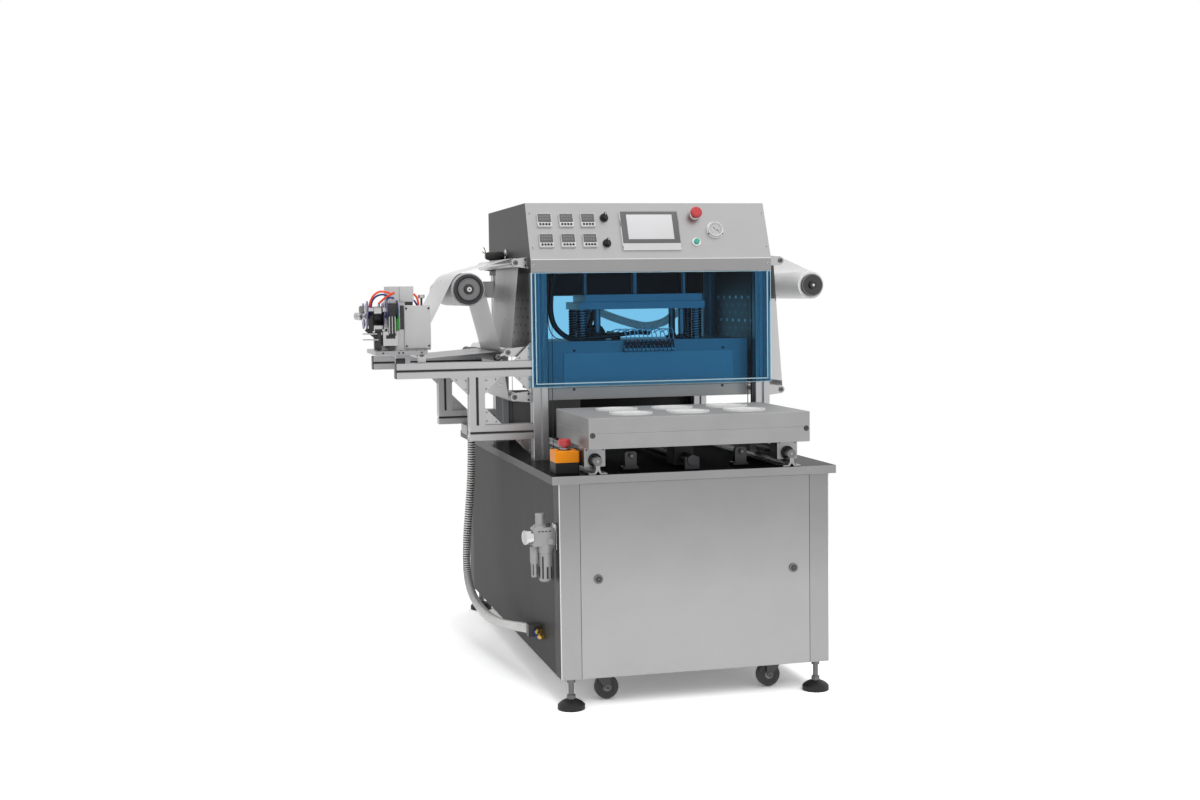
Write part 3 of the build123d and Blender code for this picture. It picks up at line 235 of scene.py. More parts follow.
# Grilles: the right one, inside the guard, near-black as painted shade; the left one lighter.
finish("shaded_grille", (0.008, 0.008, 0.009), 0.5, 0.3, grain=ALONG_Y, vary=0.15, bump=0.05, wear_and_highlight=0.3,
       splits=[(("left_of", 0.1), 0.22, 0.42, 0.9)])
finish("head", 0.36, 0.42, 0.9, grain=ALONG_X, bump=0.06, wear_and_highlight=0.7)
finish("cover", 0.43, 0.36, 1.0, grain=ALONG_X, vary=0.08, bump=0.05, wear_and_highlight=0.8)
# Mould: sideways faces painted darker as painted shade; upward faces painted darker too, and rougher and less
# metallic.
finish("mould", 0.38, 0.40, 0.95, grain=ALONG_X, bump=0.06, wear_and_highlight=0.9, edge=0.8,
       splits=[(SHADED_SIDEWAYS, 0.30, 0.40, 0.95), (SHADED_UPWARD, 0.30, 0.55, 0.25)])

# Machined, cast and plated metal
finish("fork", 0.075, 0.35, 0.9, vary=0.12, bump=0.06, wear_and_highlight=0.5)
finish("disc", 0.20, 0.34, 0.95, bump=0.05, wear_and_highlight=0.5)
# Glands below 0.5 m painted dark like the shaded side panels: painted shade.
finish("gland_shaded_low", 0.36, 0.40, 0.9, vary=0.08, bump=0.05, splits=[(("below", 0.5), 0.10, 0.42, 0.9)])
finish("beam", (0.52, 0.52, 0.525), 0.36, 1.0, grain=ALONG_Y, vary=0.07, bump=0.03, edge_r=0.0008, wear_and_highlight=0.5)
finish("cast", 0.37, 0.40, 0.3, bump=0.15, pebble=1100.0, wear_and_highlight=0.4)
finish("profile", (0.50, 0.51, 0.52), 0.34, 1.0, grain=ALONG_Z, vary=0.05, bump=0.03, edge_r=0.0008)
finish("machined", (0.38, 0.38, 0.39), 0.38, 1.0, grain=ALONG_Y, bump=0.05, wear_and_highlight=0.5)
# The middle of the rail bearings, under the carriage, painted near-black: painted shade.
finish("bearings", (0.36, 0.36, 0.37), 0.38, 1.0, grain=ALONG_Y, bump=0.05, wear_and_highlight=0.5,
       splits=[(("between", 0.1745, 0.2), (0.022, 0.022, 0.023), 0.5, 0.3)])
finish("rings", 0.66, 0.12, 1.0, vary=0.05, rough_vary=0.06, bump=0.01,
       splits=[(("left_of", 0.1), BLACK, 0.35, 0.0)])
finish("dark_metal", (0.05, 0.05, 0.055), 0.42, 0.6, vary=0.2, bump=0.1, wear_and_highlight=0.5)
finish("chrome", 0.66, 0.10, 1.0, vary=0.05, rough_vary=0.06, bump=0.01)
finish("bright", 0.52, 0.25, 1.0, vary=0.08, bump=0.04)
finish("screw", 0.09, 0.32, 0.9, vary=0.25, bump=0.05)
finish("foot", 0.17, 0.30, 1.0, vary=0.15, bump=0.05, splits=[(("below", 0.0325), 0.008, 0.5, 0.0)])
finish("brass", (0.62, 0.42, 0.11), 0.25, 1.0, vary=0.12, bump=0.04)
finish("conduit", (0.82, 0.82, 0.81), 0.32, 0.4, bump=0.05, edge_r=0)
# Dark for the hollows between the conduit's ribs: painted shade.
finish("conduit_hollow_shade", 0.09, 0.40, 0.5, vary=0.15, bump=0.05, edge_r=0)
# Near-white: painted highlights along edges, and the start button's ring with its sheen painted in.
finish("pale_ring_and_highlight", 0.86, 0.30, 0.4, vary=0.04, bump=0.02, edge_r=0)

# Plastic, rubber and lacquer
finish("black", BLACK, 0.38, vary=0.3, bump=0.15, pebble=1500.0)
finish("rubber", 0.022, 0.58, vary=0.3, bump=0.3, pebble=700.0)
finish("wheel", 0.050, 0.52, vary=0.2, bump=0.2, wear_and_highlight=0.4, edge=0.12)
finish("grey_plastic", 0.50, 0.38, vary=0.06, bump=0.1, pebble=1200.0)
finish("pale_plastic", 0.62, 0.35, vary=0.04, bump=0.06, pebble=1500.0)
finish("bezel_grey", 0.46, 0.35, 0.2, vary=0.05, bump=0.04)
finish("display", (0.10, 0.10, 0.103), 0.22, vary=0.08, bump=0.02, coat=0.5)
finish("screen", (0.60, 0.60, 0.61), 0.14, mottle=2.0, vary=0.04, bump=0.01, edge_r=0, coat=0.6)
# Pale blue for painted highlights on the guard's edges and painted light in the right grille's holes.
finish("highlight_blue", (0.42, 0.60, 0.68), 0.25, vary=0.05, bump=0.02, edge_r=0)
finish("red", (0.46, 0.026, 0.032), 0.28, bump=0.03, coat=0.4)
finish("green", (0.03, 0.36, 0.26), 0.28, bump=0.03, coat=0.4)
finish("box", (0.92, 0.29, 0.003), 0.42, vary=0.06, bump=0.12, pebble=1300.0, level=0.25,
       splits=[(("below", 0.751), BLACK, 0.45, 0.0)])
finish("green_strip", (0.03, 0.25, 0.035), 0.40, vary=0.15, bump=0.05)
finish("hose_orange", (0.85, 0.07, 0.015), 0.30, vary=0.08, bump=0.03, edge_r=0)
finish("hose_blue", (0.012, 0.05, 0.26), 0.30, bump=0.03, edge_r=0)
finish("clear_hose", (0.45, 0.47, 0.48), 0.20, bump=0.02, edge_r=0, alpha=0.6)
finish("wire_white", 0.70, 0.35, vary=0.05, bump=0.02, edge_r=0)
tinted_glass("guard", (0.13, 0.56, 0.96), (0.55, 0.78, 0.90), (0.52, 0.72, 0.84))

# Film, cups and ribbon
finish("film", (0.56, 0.56, 0.57), 0.30, grain=ALONG_WEB, vary=0.04, bump=0.06, edge_r=0, alpha=0.95)
# The used web and the wound waste roll are lighter: partly their own paler look, partly painted light where
# the hood shades them.
finish("film_used_painted_lighter", (0.80, 0.80, 0.81), 0.32, grain=ALONG_WEB, vary=0.04, bump=0.06, edge_r=0, alpha=0.5)
finish("roll", (0.56, 0.56, 0.57), 0.30, grain=ROUND_ROLL, vary=0.05, bump=0.2, splits=ROLL_ENDS)
finish("roll_used_painted_lighter", 0.90, 0.30, grain=ROUND_ROLL, vary=0.05, bump=0.2, splits=ROLL_ENDS)
finish("cup", (0.74, 0.74, 0.73), 0.40, mottle=60.0, bump=0.3, pebble=400.0, edge_r=0)
finish("ribbon", (0.055, 0.050, 0.20), 0.30, 0.1, vary=0.2, bump=0.05)

PAINTED = {
    "post_steel": "cabinet_body",
    "front_steel": "front_panel",
    "shaded_steel": "rear_and_side_panels hood",
    "shaded_grille": "side_grilles",
    "panel_steel": "control_panel",
    "worktop": "worktop",
    "foot": "levelling_feet",
    "profile": "columns",
    "bright": "caster_plates frame_gussets roller_brackets roller_upper_left roller_table roller_coder "
              "roller_entry roller_upper_right roller_exit",
    "pale_plastic": "reel_arms temperature_controllers",
    "fork": "caster_fork_left caster_fork_right stop_brackets",
    "wheel": "rear_casters caster_wheel_left caster_wheel_right",
    "machined": "head_plate crosshead slide_rails coder_base",
    "bearings": "carriage_bearings",
    "head": "seal_head",
    "cover": "head_cover",
    "dark_metal": "rear_screen slide_cylinder",
    "mould": "carriage",
    "cup": "cups",
    "guard": "front_guard",
    "chrome": "touch_screen vacuum_gauge",
    "rings": "button_rings",
    "red": "panel_estop worktop_estop",
    "green": "start_button",
    "black": "selector_upper selector_lower terminal_strip",
    "gland_shaded_low": "conduit_glands",
    "box": "worktop_estop_box",
    "grey_plastic": "coder_body",
    "ribbon": "ribbon_spool_front ribbon_spool_rear",
    "roll": "supply_reel",
    "roll_used_painted_lighter": "rewind_reel",
    "rubber": "roller_nip",
}
for finish_name, node_names in PAINTED.items():
    for node_name in node_names.split():
        slots = NODES[node_name].data.materials
        slots.clear()
        slots.append(M[finish_name])


# Shapes

class Shape:
    """Collects faces in millimetres and makes one piece of them, in the named finishes, riding on a body."""

    def __init__(self, name, slot, *finishes, body="machine"):
        self.name, self.slot, self.finishes, self.body = name, slot, finishes, body
        self.mesh = bmesh.new()
        self.frame = Matrix.Identity(4)

    def place(self, verts, faces, finish):
        for vert in verts:
            vert.co = self.frame @ vert.co
        for face in faces:
            face.material_index = finish

    def box(self, x0, x1, y0, y1, z0, z1, finish=0, bevel=0.6):
        known = set(self.mesh.faces)
        made = bmesh.ops.create_cube(self.mesh, size=1.0)["verts"]
        middle = Vector(((x0 + x1) / 2, (y0 + y1) / 2, (z0 + z1) / 2))
        for vert in made:
            vert.co = Vector((vert.co.x * (x1 - x0), vert.co.y * (y1 - y0), vert.co.z * (z1 - z0))) + middle
        if bevel:
            edges = list(dict.fromkeys(edge for vert in made for edge in vert.link_edges))
            bmesh.ops.bevel(self.mesh, geom=edges, offset=bevel, segments=2, profile=0.5, affect="EDGES")
        faces = [face for face in self.mesh.faces if face not in known]
        self.place({vert for face in faces for vert in face.verts}, faces, finish)

    def boxes(self, *rows):
        for row in rows:
            self.box(*row)

    def prism(self, outline, y0, y1, finish=0):
        """A closed outline in X and Z between two depths."""
        near = [self.mesh.verts.new((x, y0, z)) for x, z in outline]
        far = [self.mesh.verts.new((x, y1, z)) for x, z in outline]
        faces = [self.mesh.faces.new(near), self.mesh.faces.new(list(reversed(far)))]
        for i in range(len(near)):
            j = (i + 1) % len(near)
            faces.append(self.mesh.faces.new((near[i], far[i], far[j], near[j])))
        self.place(near + far, faces, finish)

    def ring(self, middle, a, b, r, sides):
        """The corners of a round section."""
        turns = [2 * pi * i / sides for i in range(sides)]
        return [self.mesh.verts.new(middle + (a * cos(turn) + b * sin(turn)) * r) for turn in turns]

    def lathe(self, origin, axis, profile, finish=0, sides=28):
        """A profile of (radius, height) turned about an axis through origin."""
        axis, origin = Vector(axis).normalized(), Vector(origin)
        across = axis.orthogonal().normalized()
        other = axis.cross(across)
        faces, rings = [], []
        for r, h in profile:
            middle = origin + axis * h
            rings.append(self.ring(middle, across, other, r, sides) if r else [self.mesh.verts.new(middle)])
        for low, high in zip(rings, rings[1:]):
            for i in range(sides):
                j = (i + 1) % sides
                corners = [low[i % len(low)], low[j % len(low)], high[j % len(high)], high[i % len(high)]]
                corners = list(dict.fromkeys(corners))
                if len(corners) > 2:
                    faces.append(self.mesh.faces.new(corners))
        self.place([vert for ring in rings for vert in ring], faces, finish)

    def turned(self, origin, axis, *parts):
        """Several lathe forms on one axis, each (finish, sides, profile)."""
        for finish, sides, profile in parts:
            self.lathe(origin, axis, profile, finish, sides)

    def rod(self, start, end, r, finish=0, sides=16, chamfer=0.4):
        start, end = Vector(start), Vector(end)
        long = (end - start).length
        c = min(chamfer, r / 3)
        profile = [(0, 0), (r - c, 0), (r, c), (r, long - c), (r - c, long), (0, long)]
        self.lathe(start, end - start, profile, finish, sides)

    def screw(self, place, out, r=3.4, finish=0, dark=None):
        """A socket-head screw seen from outside: a crowned head with a sunk hexagon."""
        dark = finish if dark is None else dark
        h = r * 0.55
        self.lathe(place, out, [(r, 0), (r, h * 0.6), (r * 0.8, h), (r * 0.5, h)], finish, 16)
        self.lathe(place, out, [(r * 0.5, h), (r * 0.45, h * 0.3), (0, h * 0.3)], dark, 6)

    def tube(self, points, r, finish=0, sides=10, ribs=None):
        """A round tube along points; ribs is (pitch, depth, finish of the hollows)."""
        points = [Vector(p) for p in points]
        if ribs:
            points = spaced(points, ribs[0] / 4)
        verts, faces, hollow, last = [], [], [], None
        side = (points[1] - points[0]).orthogonal().normalized()
        for i, point in enumerate(points):
            ahead = (points[min(i + 1, len(points) - 1)] - points[max(i - 1, 0)]).normalized()
            side = (side - ahead * side.dot(ahead)).normalized()
            reach = r - ribs[1] * (0.0, 0.5, 1.0, 0.5)[i % 4] if ribs else r
            ring = self.ring(point, side, ahead.cross(side), reach, sides)
            verts += ring
            if last:
                for k in range(sides):
                    j = (k + 1) % sides
                    faces.append(self.mesh.faces.new((last[k], last[j], ring[j], ring[k])))
                    if ribs and i % 4 in (2, 3):
                        hollow.append(faces[-1])
            else:
                faces.append(self.mesh.faces.new(list(reversed(ring))))
            last = ring
        faces.append(self.mesh.faces.new(last))
        self.place(verts, faces, finish)
        for face in hollow:
            face.material_index = ribs[2]

    def wires(self, *rows):
        """Smooth wires or small hoses, each (r, finish, sides, points)."""
        for r, finish, sides, points in rows:
            self.tube(smooth_line(points), r, finish, sides)

    def grooved(self, way, start, end, a, b):
        """A square profile with a groove in each side, along an axis at the other two places."""
        half, slot, floor = PROFILE_HALF, 4.3, 14.0
        outline = []
        for turn in range(4):
            for x, z in ((-half, -half), (-slot, -half), (-slot, -floor), (slot, -floor), (slot, -half)):
                for _ in range(turn):
                    x, z = -z, x
                outline.append((x, z))
        rows = {"x": ((0, 1, 0, 0), (1, 0, 0, a), (0, 0, 1, b), (0, 0, 0, 1)),
                "z": ((1, 0, 0, a), (0, 0, 1, b), (0, 1, 0, 0), (0, 0, 0, 1))}
        self.frame = Matrix(rows[way])
        self.prism(outline, start, end)
        self.frame = Matrix.Identity(4)

    def done(self, sharp=35):
        bmesh.ops.recalc_face_normals(self.mesh, faces=self.mesh.faces)
        for vert in self.mesh.verts:
            vert.co = (vert.co + SHIFT) * MM
        piece = smooth_piece(self.name, self.mesh, self.finishes)
        piece.data.set_sharp_from_angle(angle=radians(sharp))
        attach(piece, self.body)
        return piece


def smooth_piece(name, mesh, finishes):
    """An object in the scene made of a bmesh, shaded smooth."""
    data = bpy.data.meshes.new(name)
    mesh.to_mesh(data)
    mesh.free()
    data.polygons.foreach_set("use_smooth", [True] * len(data.polygons))
    for finish_name in finishes:
        data.materials.append(M[finish_name])
    piece = bpy.data.objects.new(name, data)
    bpy.context.scene.collection.objects.link(piece)
    return piece


def spaced(points, step):
    """Points along a run of points, a step apart."""
    out, left = [points[0].copy()], step
    for a, b in zip(points, points[1:]):
        long = (b - a).length
        while left <= long:
            out.append(a.lerp(b, left / long))
            left += step
        left -= long
    return out


def smooth_line(points, per=8):
    """A smooth run through points, for wires and small hoses."""
    points = [Vector(p) for p in points]
    padded = [points[0] * 2 - points[1]] + points + [points[-1] * 2 - points[-2]]
    out = []
    for a, b, c, d in zip(padded, padded[1:], padded[2:], padded[3:]):
        for k in range(per):
            t = k / per
            out.append(0.5 * (2 * b + (c - a) * t + (2 * a - 5 * b + 4 * c - d) * t * t
                              + (3 * b - a - 3 * c + d) * t * t * t))
    return out + [points[-1]]


# The control face

CONTROLLERS_X, CONTROLLERS_UP = (-356.5, -282.8, -209.5), (128.2, 60.9)
SCREEN, GAUGE, START = (1.0, 92.5), (228.0, 94.6), (157.3, 54.9)
SELECTOR_X, SELECTORS_UP = -152.1, {"upper": 137.6, "lower": 52.2}
KEY = [(4.2, 0), (4.2, 0.7), (3.4, 1.1), (0, 1.1)]
FACE_SCREW_R = 4.2


def on_slope(x, up):
    """The frame of a control: X right, Z up the slope, minus Y out of it."""
    place = Matrix.Translation((x, HOOD_FRONT + up * HOOD_LEAN / HOOD_SLANT, HOOD_FOLD + up))
    return place @ Matrix.Rotation(-atan2(HOOD_LEAN, HOOD_SLANT), 4, "X")


def controller_faces():
    faces = Shape("controller_faces", "black_plastic", "display", "pale_plastic", "grey_plastic", "black")
    for up in CONTROLLERS_UP:
        for x in CONTROLLERS_X:
            faces.frame = on_slope(x, up)
            faces.box(-22, 22, -9.0, -7.9, -8, 22, 0, 0.4)
            faces.box(-22, 22, -8.7, -7.9, -22, -9, 1, 0.4)
            for k in range(4):
                faces.lathe((-15 + 10 * k, -8.6, -15.5), NEAR, KEY, 3, 16)
            for z in (13, 3):
                for k in range(4):
                    left = -16 + 8.4 * k
                    faces.box(left, left + 5, -9.2, -8.9, z - 0.4, z + 0.4, 2, 0)
    faces.done()


def screen_face():
    screen = Shape("screen_face", "black_plastic", "display", "screen")
    screen.frame = on_slope(*SCREEN)
    screen.box(-99, 99, -9.8, -8.9, -47, 68, 0, 0.8)
    screen.box(-79, 79, -10.1, -9.0, -33, 57, 1, 0.4)
    screen.done()


def gauge_face():
    """The gauge's ring with its screws, the dial's marks and the needle."""
    gauge = Shape("gauge_face", "chrome", "pale_plastic", "screw", "bezel_grey")
    gauge.frame = on_slope(*GAUGE)
    gauge.turned((0, 0, 0), NEAR, (0, 48, [(30, 0.2), (30, 4.6), (28.5, 5.2), (26.4, 5.4), (26.4, 12.6),
                                           (24.5, 13.4), (22.6, 12.4), (22.6, 10.6)]),
                 (2, 48, [(22.6, 10.6), (0, 10.6)]))
    ring_r, marks, first, pitch, inner, outer = 27.4, 11, 225, 27, 16, 20
    for turn in (90, 210, 330):
        gauge.screw((ring_r * cos(radians(turn)), -4.6, ring_r * sin(radians(turn))), NEAR, 2.8, 1)
    dial = Vector((0, -10.8, 0))
    for k in range(marks):
        turn = radians(first - pitch * k)
        ray = Vector((cos(turn), 0, sin(turn)))
        gauge.rod(ray * inner + dial, ray * outer + dial, 0.5, 1, 6, 0.1)
    gauge.rod((-8, -11.4, 7), (11, -11.4, -9), 0.8, 1, 6, 0.1)
    gauge.lathe((0, -10.6, 0), NEAR, [(3, 0), (3, 1.6), (0, 1.8)], 2, 16)
    gauge.done()


def hood_screws():
    screws = Shape("hood_screws", "chrome", "chrome", "screw")
    for side in (-404, 404):
        for up in (153, 38):
            screws.frame = on_slope(side, up)
            screws.screw((0, 0, 0), NEAR, FACE_SCREW_R, 0, 1)
        screws.frame = Matrix.Identity(4)
        screws.screw((side, HOOD_FRONT, 1357), NEAR, FACE_SCREW_R, 0, 1)
    for side, out in ((-HOOD_SIDE, LEFT), (HOOD_SIDE, RIGHT)):
        for y in (-330, -60, 200, 360):
            screws.screw((side, y, 1350), out, FACE_SCREW_R, 0, 1)
    screws.done()


def switch_trim():
    """The ring round the start button, near-white as a painted highlight, and the marks on the selectors."""
    ring = Shape("start_ring", "chrome", "pale_ring_and_highlight")
    ring.frame = on_slope(*START)
    ring.lathe((0, 0, 0), NEAR, [(14.6, 0.1), (14.8, 4.7), (13.9, 5.5), (10.3, 5.5), (9.95, 4.9)], 0, 36)
    ring.done()
    for name, up in SELECTORS_UP.items():
        mark = Shape("selector_mark_" + name, "black_plastic", "wire_white", body=name + "_switch")
        mark.frame = on_slope(SELECTOR_X, up)
        mark.box(-0.7, 0.7, -24.5, -23.6, 2, 9.5, 0, 0.1)
        mark.done()


# Cabinet, casters and trim

PANEL_Y, LOCKS_X, LOCK_Z = -828, (-314.4, 314.4), 400
CASTERS_X, CASTER_Y, AXLE_Z, FORK_HALF, WHEEL_HALF = {"left": -267, "right": 267}, -716, 41.5, 21.2, 13


def cabinet_details():
    """The panel's locks, the casters' axle nuts and the wheels' discs."""
    locks = Shape("panel_locks", "chrome", "disc", "screw")
    for x in LOCKS_X:
        locks.turned((x, PANEL_Y, LOCK_Z), NEAR,
                     (0, 32, [(14.4, -2.8), (14.4, 0.6), (13, 1.6), (9.5, 1.8), (8.6, 0.4)]),
                     (1, 32, [(8.6, 0.4), (5.0, 0.3), (5.0, 1.9), (3.4, 2.2), (0, 2.2)]),
                     (0, 3, [(3.6, 2.2), (3.2, 3.0), (0, 3.0)]))
    locks.done()
    nut_face = 1.6
    washer = [(8.5, 0), (8.5, 1.2), (7.6, nut_face), (5.4, nut_face)]
    nut = [(6.2, 0), (6.2, 3.4), (5.2, 4.0), (0, 4.0)]
    for tag, x in CASTERS_X.items():
        ends = Shape("axle_nut_" + tag + "_swivel", "stainless", "disc", "screw", body=tag + "_swivel")
        for out in (-1, 1):
            face = CASTER_Y + out * FORK_HALF
            ends.lathe((x, face, AXLE_Z), (0, out, 0), washer, 0, 20)
            ends.lathe((x, face + out * nut_face, AXLE_Z), (0, out, 0), nut, 1, 6)
        ends.done()
    for tag, x in CASTERS_X.items():
        hub = Shape("wheel_disc_" + tag + "_wheel", "rubber", "wheel", "grey_plastic", body=tag + "_wheel")
        for out in (-1, 1):
            hub.turned((x, CASTER_Y + out * WHEEL_HALF, AXLE_Z), (0, out, 0),
                       (0, 36, [(26, -0.4), (25, 1.2), (23.5, 1.2), (22, -0.4)]),
                       (1, 28, [(13, -0.4), (12.5, 2.4), (9, 3.2), (5.3, 3.2)]))
        hub.done()


def highlight_lines():
    """Painted highlights: pale lines on the polished edges of the guard, the cabinet's front corners and the
    hood's fold.
    """
    guard = Shape("guard_edge_highlights", "blue_acrylic", "highlight_blue")
    near, far, inner, outer, low, high, wide = -374.4, -374.05, 398.5, 402, 968, 1332, 3.5
    guard.boxes((-outer, -inner, near, far, low, high, 0, 0), (inner, outer, near, far, low, high, 0, 0),
                (-inner, inner, near, far, low, low + wide, 0, 0))
    guard.done()
    corners = Shape("cabinet_corner_highlights", "stainless", "pale_ring_and_highlight")
    corner_y, fold_y, fold_z = -824.3, -373.6, 1375.4
    for x in (-432.3, 432.3):
        corners.rod((x, corner_y, 97), (x, corner_y, 692.6), 1.5, 0, 8)
    corners.rod((-413, fold_y, fold_z), (413, fold_y, fold_z), 1.3, 0, 8)
    corners.done()


def shade_screens():
    """Dark sheets that paint the shade at the rear between the columns and below the right grille."""
    low = Shape("rear_low_shade_screen", "dark_sheet", "shaded_grille", "screw")
    low.box(-384, 384, 380.1, 382.0, 718.6, 905, 0, 0.4)
    for x in (-360, 360):
        for z in (742, 812, 882):
            low.screw((x, 382, z), FAR, 3.4, 1)
    low.box(405.6, 407.4, -313.6, 329.6, 948, 1061.7, 0, 0.3)
    low.done()


def film_frame():
    """The two grooved frames left of the station, and dark strips that paint the shade in the profiles'
    grooves.

    The photograph shows nothing that joins the two frames behind the near one.
    """
    beams = []
    for y in COLUMNS_Y:
        beams += [("x", BEAM_LEFT, -STATION_SIDE, y, BEAM_Z),
                  ("x", POST_X - PROFILE_HALF, -STATION_SIDE, y, LOW_BEAM_Z),
                  ("z", LOW_BEAM_Z + PROFILE_HALF, BEAM_Z - PROFILE_HALF, POST_X, y)]
    frames = Shape("film_frame_beams", "aluminium", "beam")
    for run in beams:
        frames.grooved(*run)
    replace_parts(frames.done(), "film_frame")
    columns = [("z", 718.5, 1339.5, x, y) for x in COLUMNS_X for y in COLUMNS_Y]
    # Painted shade: a thin dark strip set inside each groove of the beams and columns.
    strips = Shape("groove_shade_strips", "rubber", "rubber")
    half, near, far = 2.7, 19.6, 20.6
    for way, start, end, a, b in beams + columns:
        for flip in (-1, 1):
            face = sorted((flip * near, flip * far))
            for first, second in ((face, (-half, half)), ((-half, half), face)):
                spans = [(a + first[0], a + first[1]), (b + second[0], b + second[1])]
                spans.insert(0 if way == "x" else 2, (start + 1, end - 1))
                strips.box(*spans[0], *spans[1], *spans[2], 0, 0)
    strips.done()


def grille_slots():
    """The side grilles' punched slots, insets a hair proud of the sheet: black as painted shade, some pale as
    painted light.
    """
    slots = Shape("grille_slots", "dark_sheet", "black", "highlight_blue")
    rows, columns, first_y, first_z, pitch_y, pitch_z, half_y, half_z = 7, 8, -279, 1078, 80, 27.5, 12, 4.8
    # The pale insets in lit_rows paint light coming through the right grille's holes.
    lit_rows = (3, 6)
    for row in range(rows):
        z = first_z + pitch_z * row
        odd = row % 2
        faces = ((-407.75, -407.45, 0), (407.45, 407.75, 0), (405.25, 405.55, int(row in lit_rows)))
        for step in range(columns - odd):
            y = first_y + pitch_y * step + odd * pitch_y // 2
            for x0, x1, tone in faces:
                slots.box(x0, x1, y - half_y, y + half_y, z - half_z, z + half_z, tone, 0)
    slots.done()


# Film

WEB_R = 15.65
FILM_ROUTE = [(*SUPPLY, 54.7, 1), (*ROLLERS["table"], WEB_R, -1), (*ROLLERS["upper_left"], WEB_R, -1),
              (*SUPPLY, 57.2, -1), (*ROLLERS["coder"], WEB_R, -1), (*ROLLERS["nip"], WEB_R, 1),
              (*ROLLERS["entry"], WEB_R, -1), (*ROLLERS["exit"], WEB_R, -1),
              (*ROLLERS["upper_right"], WEB_R, 1), (*REWIND, 47.7, 1)]
FILM_FRONT, FILM_BACK, FILM_ROWS = -294.0, 106.0, 40
SPAN_STEP, WRAP_STEP, SLACK_REACH = 9, 3, 40
# Where the web is painted lighter: used film, and painted light in the hood's shade.
USED_LIGHTER_FROM_X, USED_LIGHTER_ABOVE = 462, 0.95
RIPPLES = ((260, 60, 3.0, 0.7), (90, 110, 9.0, 0.35))  # size along, size across, layer of the noise, height


def tangent(c1, c2):
    """Where a straight span touches two circles; each is (x, z, r, side)."""
    (x1, z1, r1, s1), (x2, z2, r2, s2) = c1, c2
    a, b = s1 * r1, s2 * r2
    gap = hypot(x2 - x1, z2 - z1)
    turn = atan2(z2 - z1, x2 - x1) - atan2(a - b, sqrt(gap * gap - (a - b) ** 2)) + pi / 2
    return (x1 + a * cos(turn), z1 + a * sin(turn)), (x2 + b * cos(turn), z2 + b * sin(turn))


def film_line():
    """The web's centre line as (x, z, slack), slack being 0 on a roller and 1 mid-span."""
    spans = [tangent(a, b) for a, b in zip(FILM_ROUTE, FILM_ROUTE[1:])]
    line = []
    for index, (start, end) in enumerate(spans):
        long = hypot(end[0] - start[0], end[1] - start[1])
        steps = max(2, int(long / SPAN_STEP))
        for k in range(steps + 1):
            t = k / steps
            slack = min(1.0, min(t, 1 - t) * long / SLACK_REACH)
            line.append((start[0] + (end[0] - start[0]) * t, start[1] + (end[1] - start[1]) * t, slack))
        if index + 1 < len(spans):
            x, z, r, side = FILM_ROUTE[index + 1]
            after = spans[index + 1][0]
            first = atan2(end[1] - z, end[0] - x)
            last = atan2(after[1] - z, after[0] - x)
            while side < 0 and last < first:
                last += 2 * pi
            while side > 0 and last > first:
                last -= 2 * pi
            steps = max(3, int(abs(last - first) * r / WRAP_STEP))
            for k in range(1, steps):
                turn = first + (last - first) * k / steps
                line.append((x + r * cos(turn), z + r * sin(turn), 0.0))
    return line


def film_web():
    """One web from reel to reel, a little uneven between the rollers."""
    line = film_line()
    mesh = bmesh.new()
    grid = []
    length = 0.0
    for i, (x, z, slack) in enumerate(line):
        before, after = line[max(i - 1, 0)], line[min(i + 1, len(line) - 1)]
        dx, dz = after[0] - before[0], after[1] - before[1]
        long = hypot(dx, dz) or 1.0
        nx, nz = -dz / long, dx / long
        if i:
            length += hypot(x - line[i - 1][0], z - line[i - 1][1])
        row = []
        for k in range(FILM_ROWS + 1):
            y = FILM_FRONT + (FILM_BACK - FILM_FRONT) * k / FILM_ROWS
            lift = slack * sum(noise.noise(Vector((length / along, y / across, layer))) * high
                               for along, across, layer, high in RIPPLES)
            row.append(mesh.verts.new(at(x + nx * lift, y, z + nz * lift)))
        grid.append(row)
    for a, b in zip(grid, grid[1:]):
        for k in range(FILM_ROWS):
            mesh.faces.new((a[k], a[k + 1], b[k + 1], b[k]))
    bmesh.ops.recalc_face_normals(mesh, faces=mesh.faces)
    web = smooth_piece("film_web", mesh, ("film", "film_used_painted_lighter"))
    # The waste side's web takes the lighter used finish: used film, and painted light where the hood shades
    # it.
    used_lighter_x = at(USED_LIGHTER_FROM_X, 0, 0).x
    for face in web.data.polygons:
        face.material_index = int(face.center.x > used_lighter_x and face.center.z > USED_LIGHTER_ABOVE)
    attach(web, "machine")
    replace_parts(web, "film_supply", "film_waste")


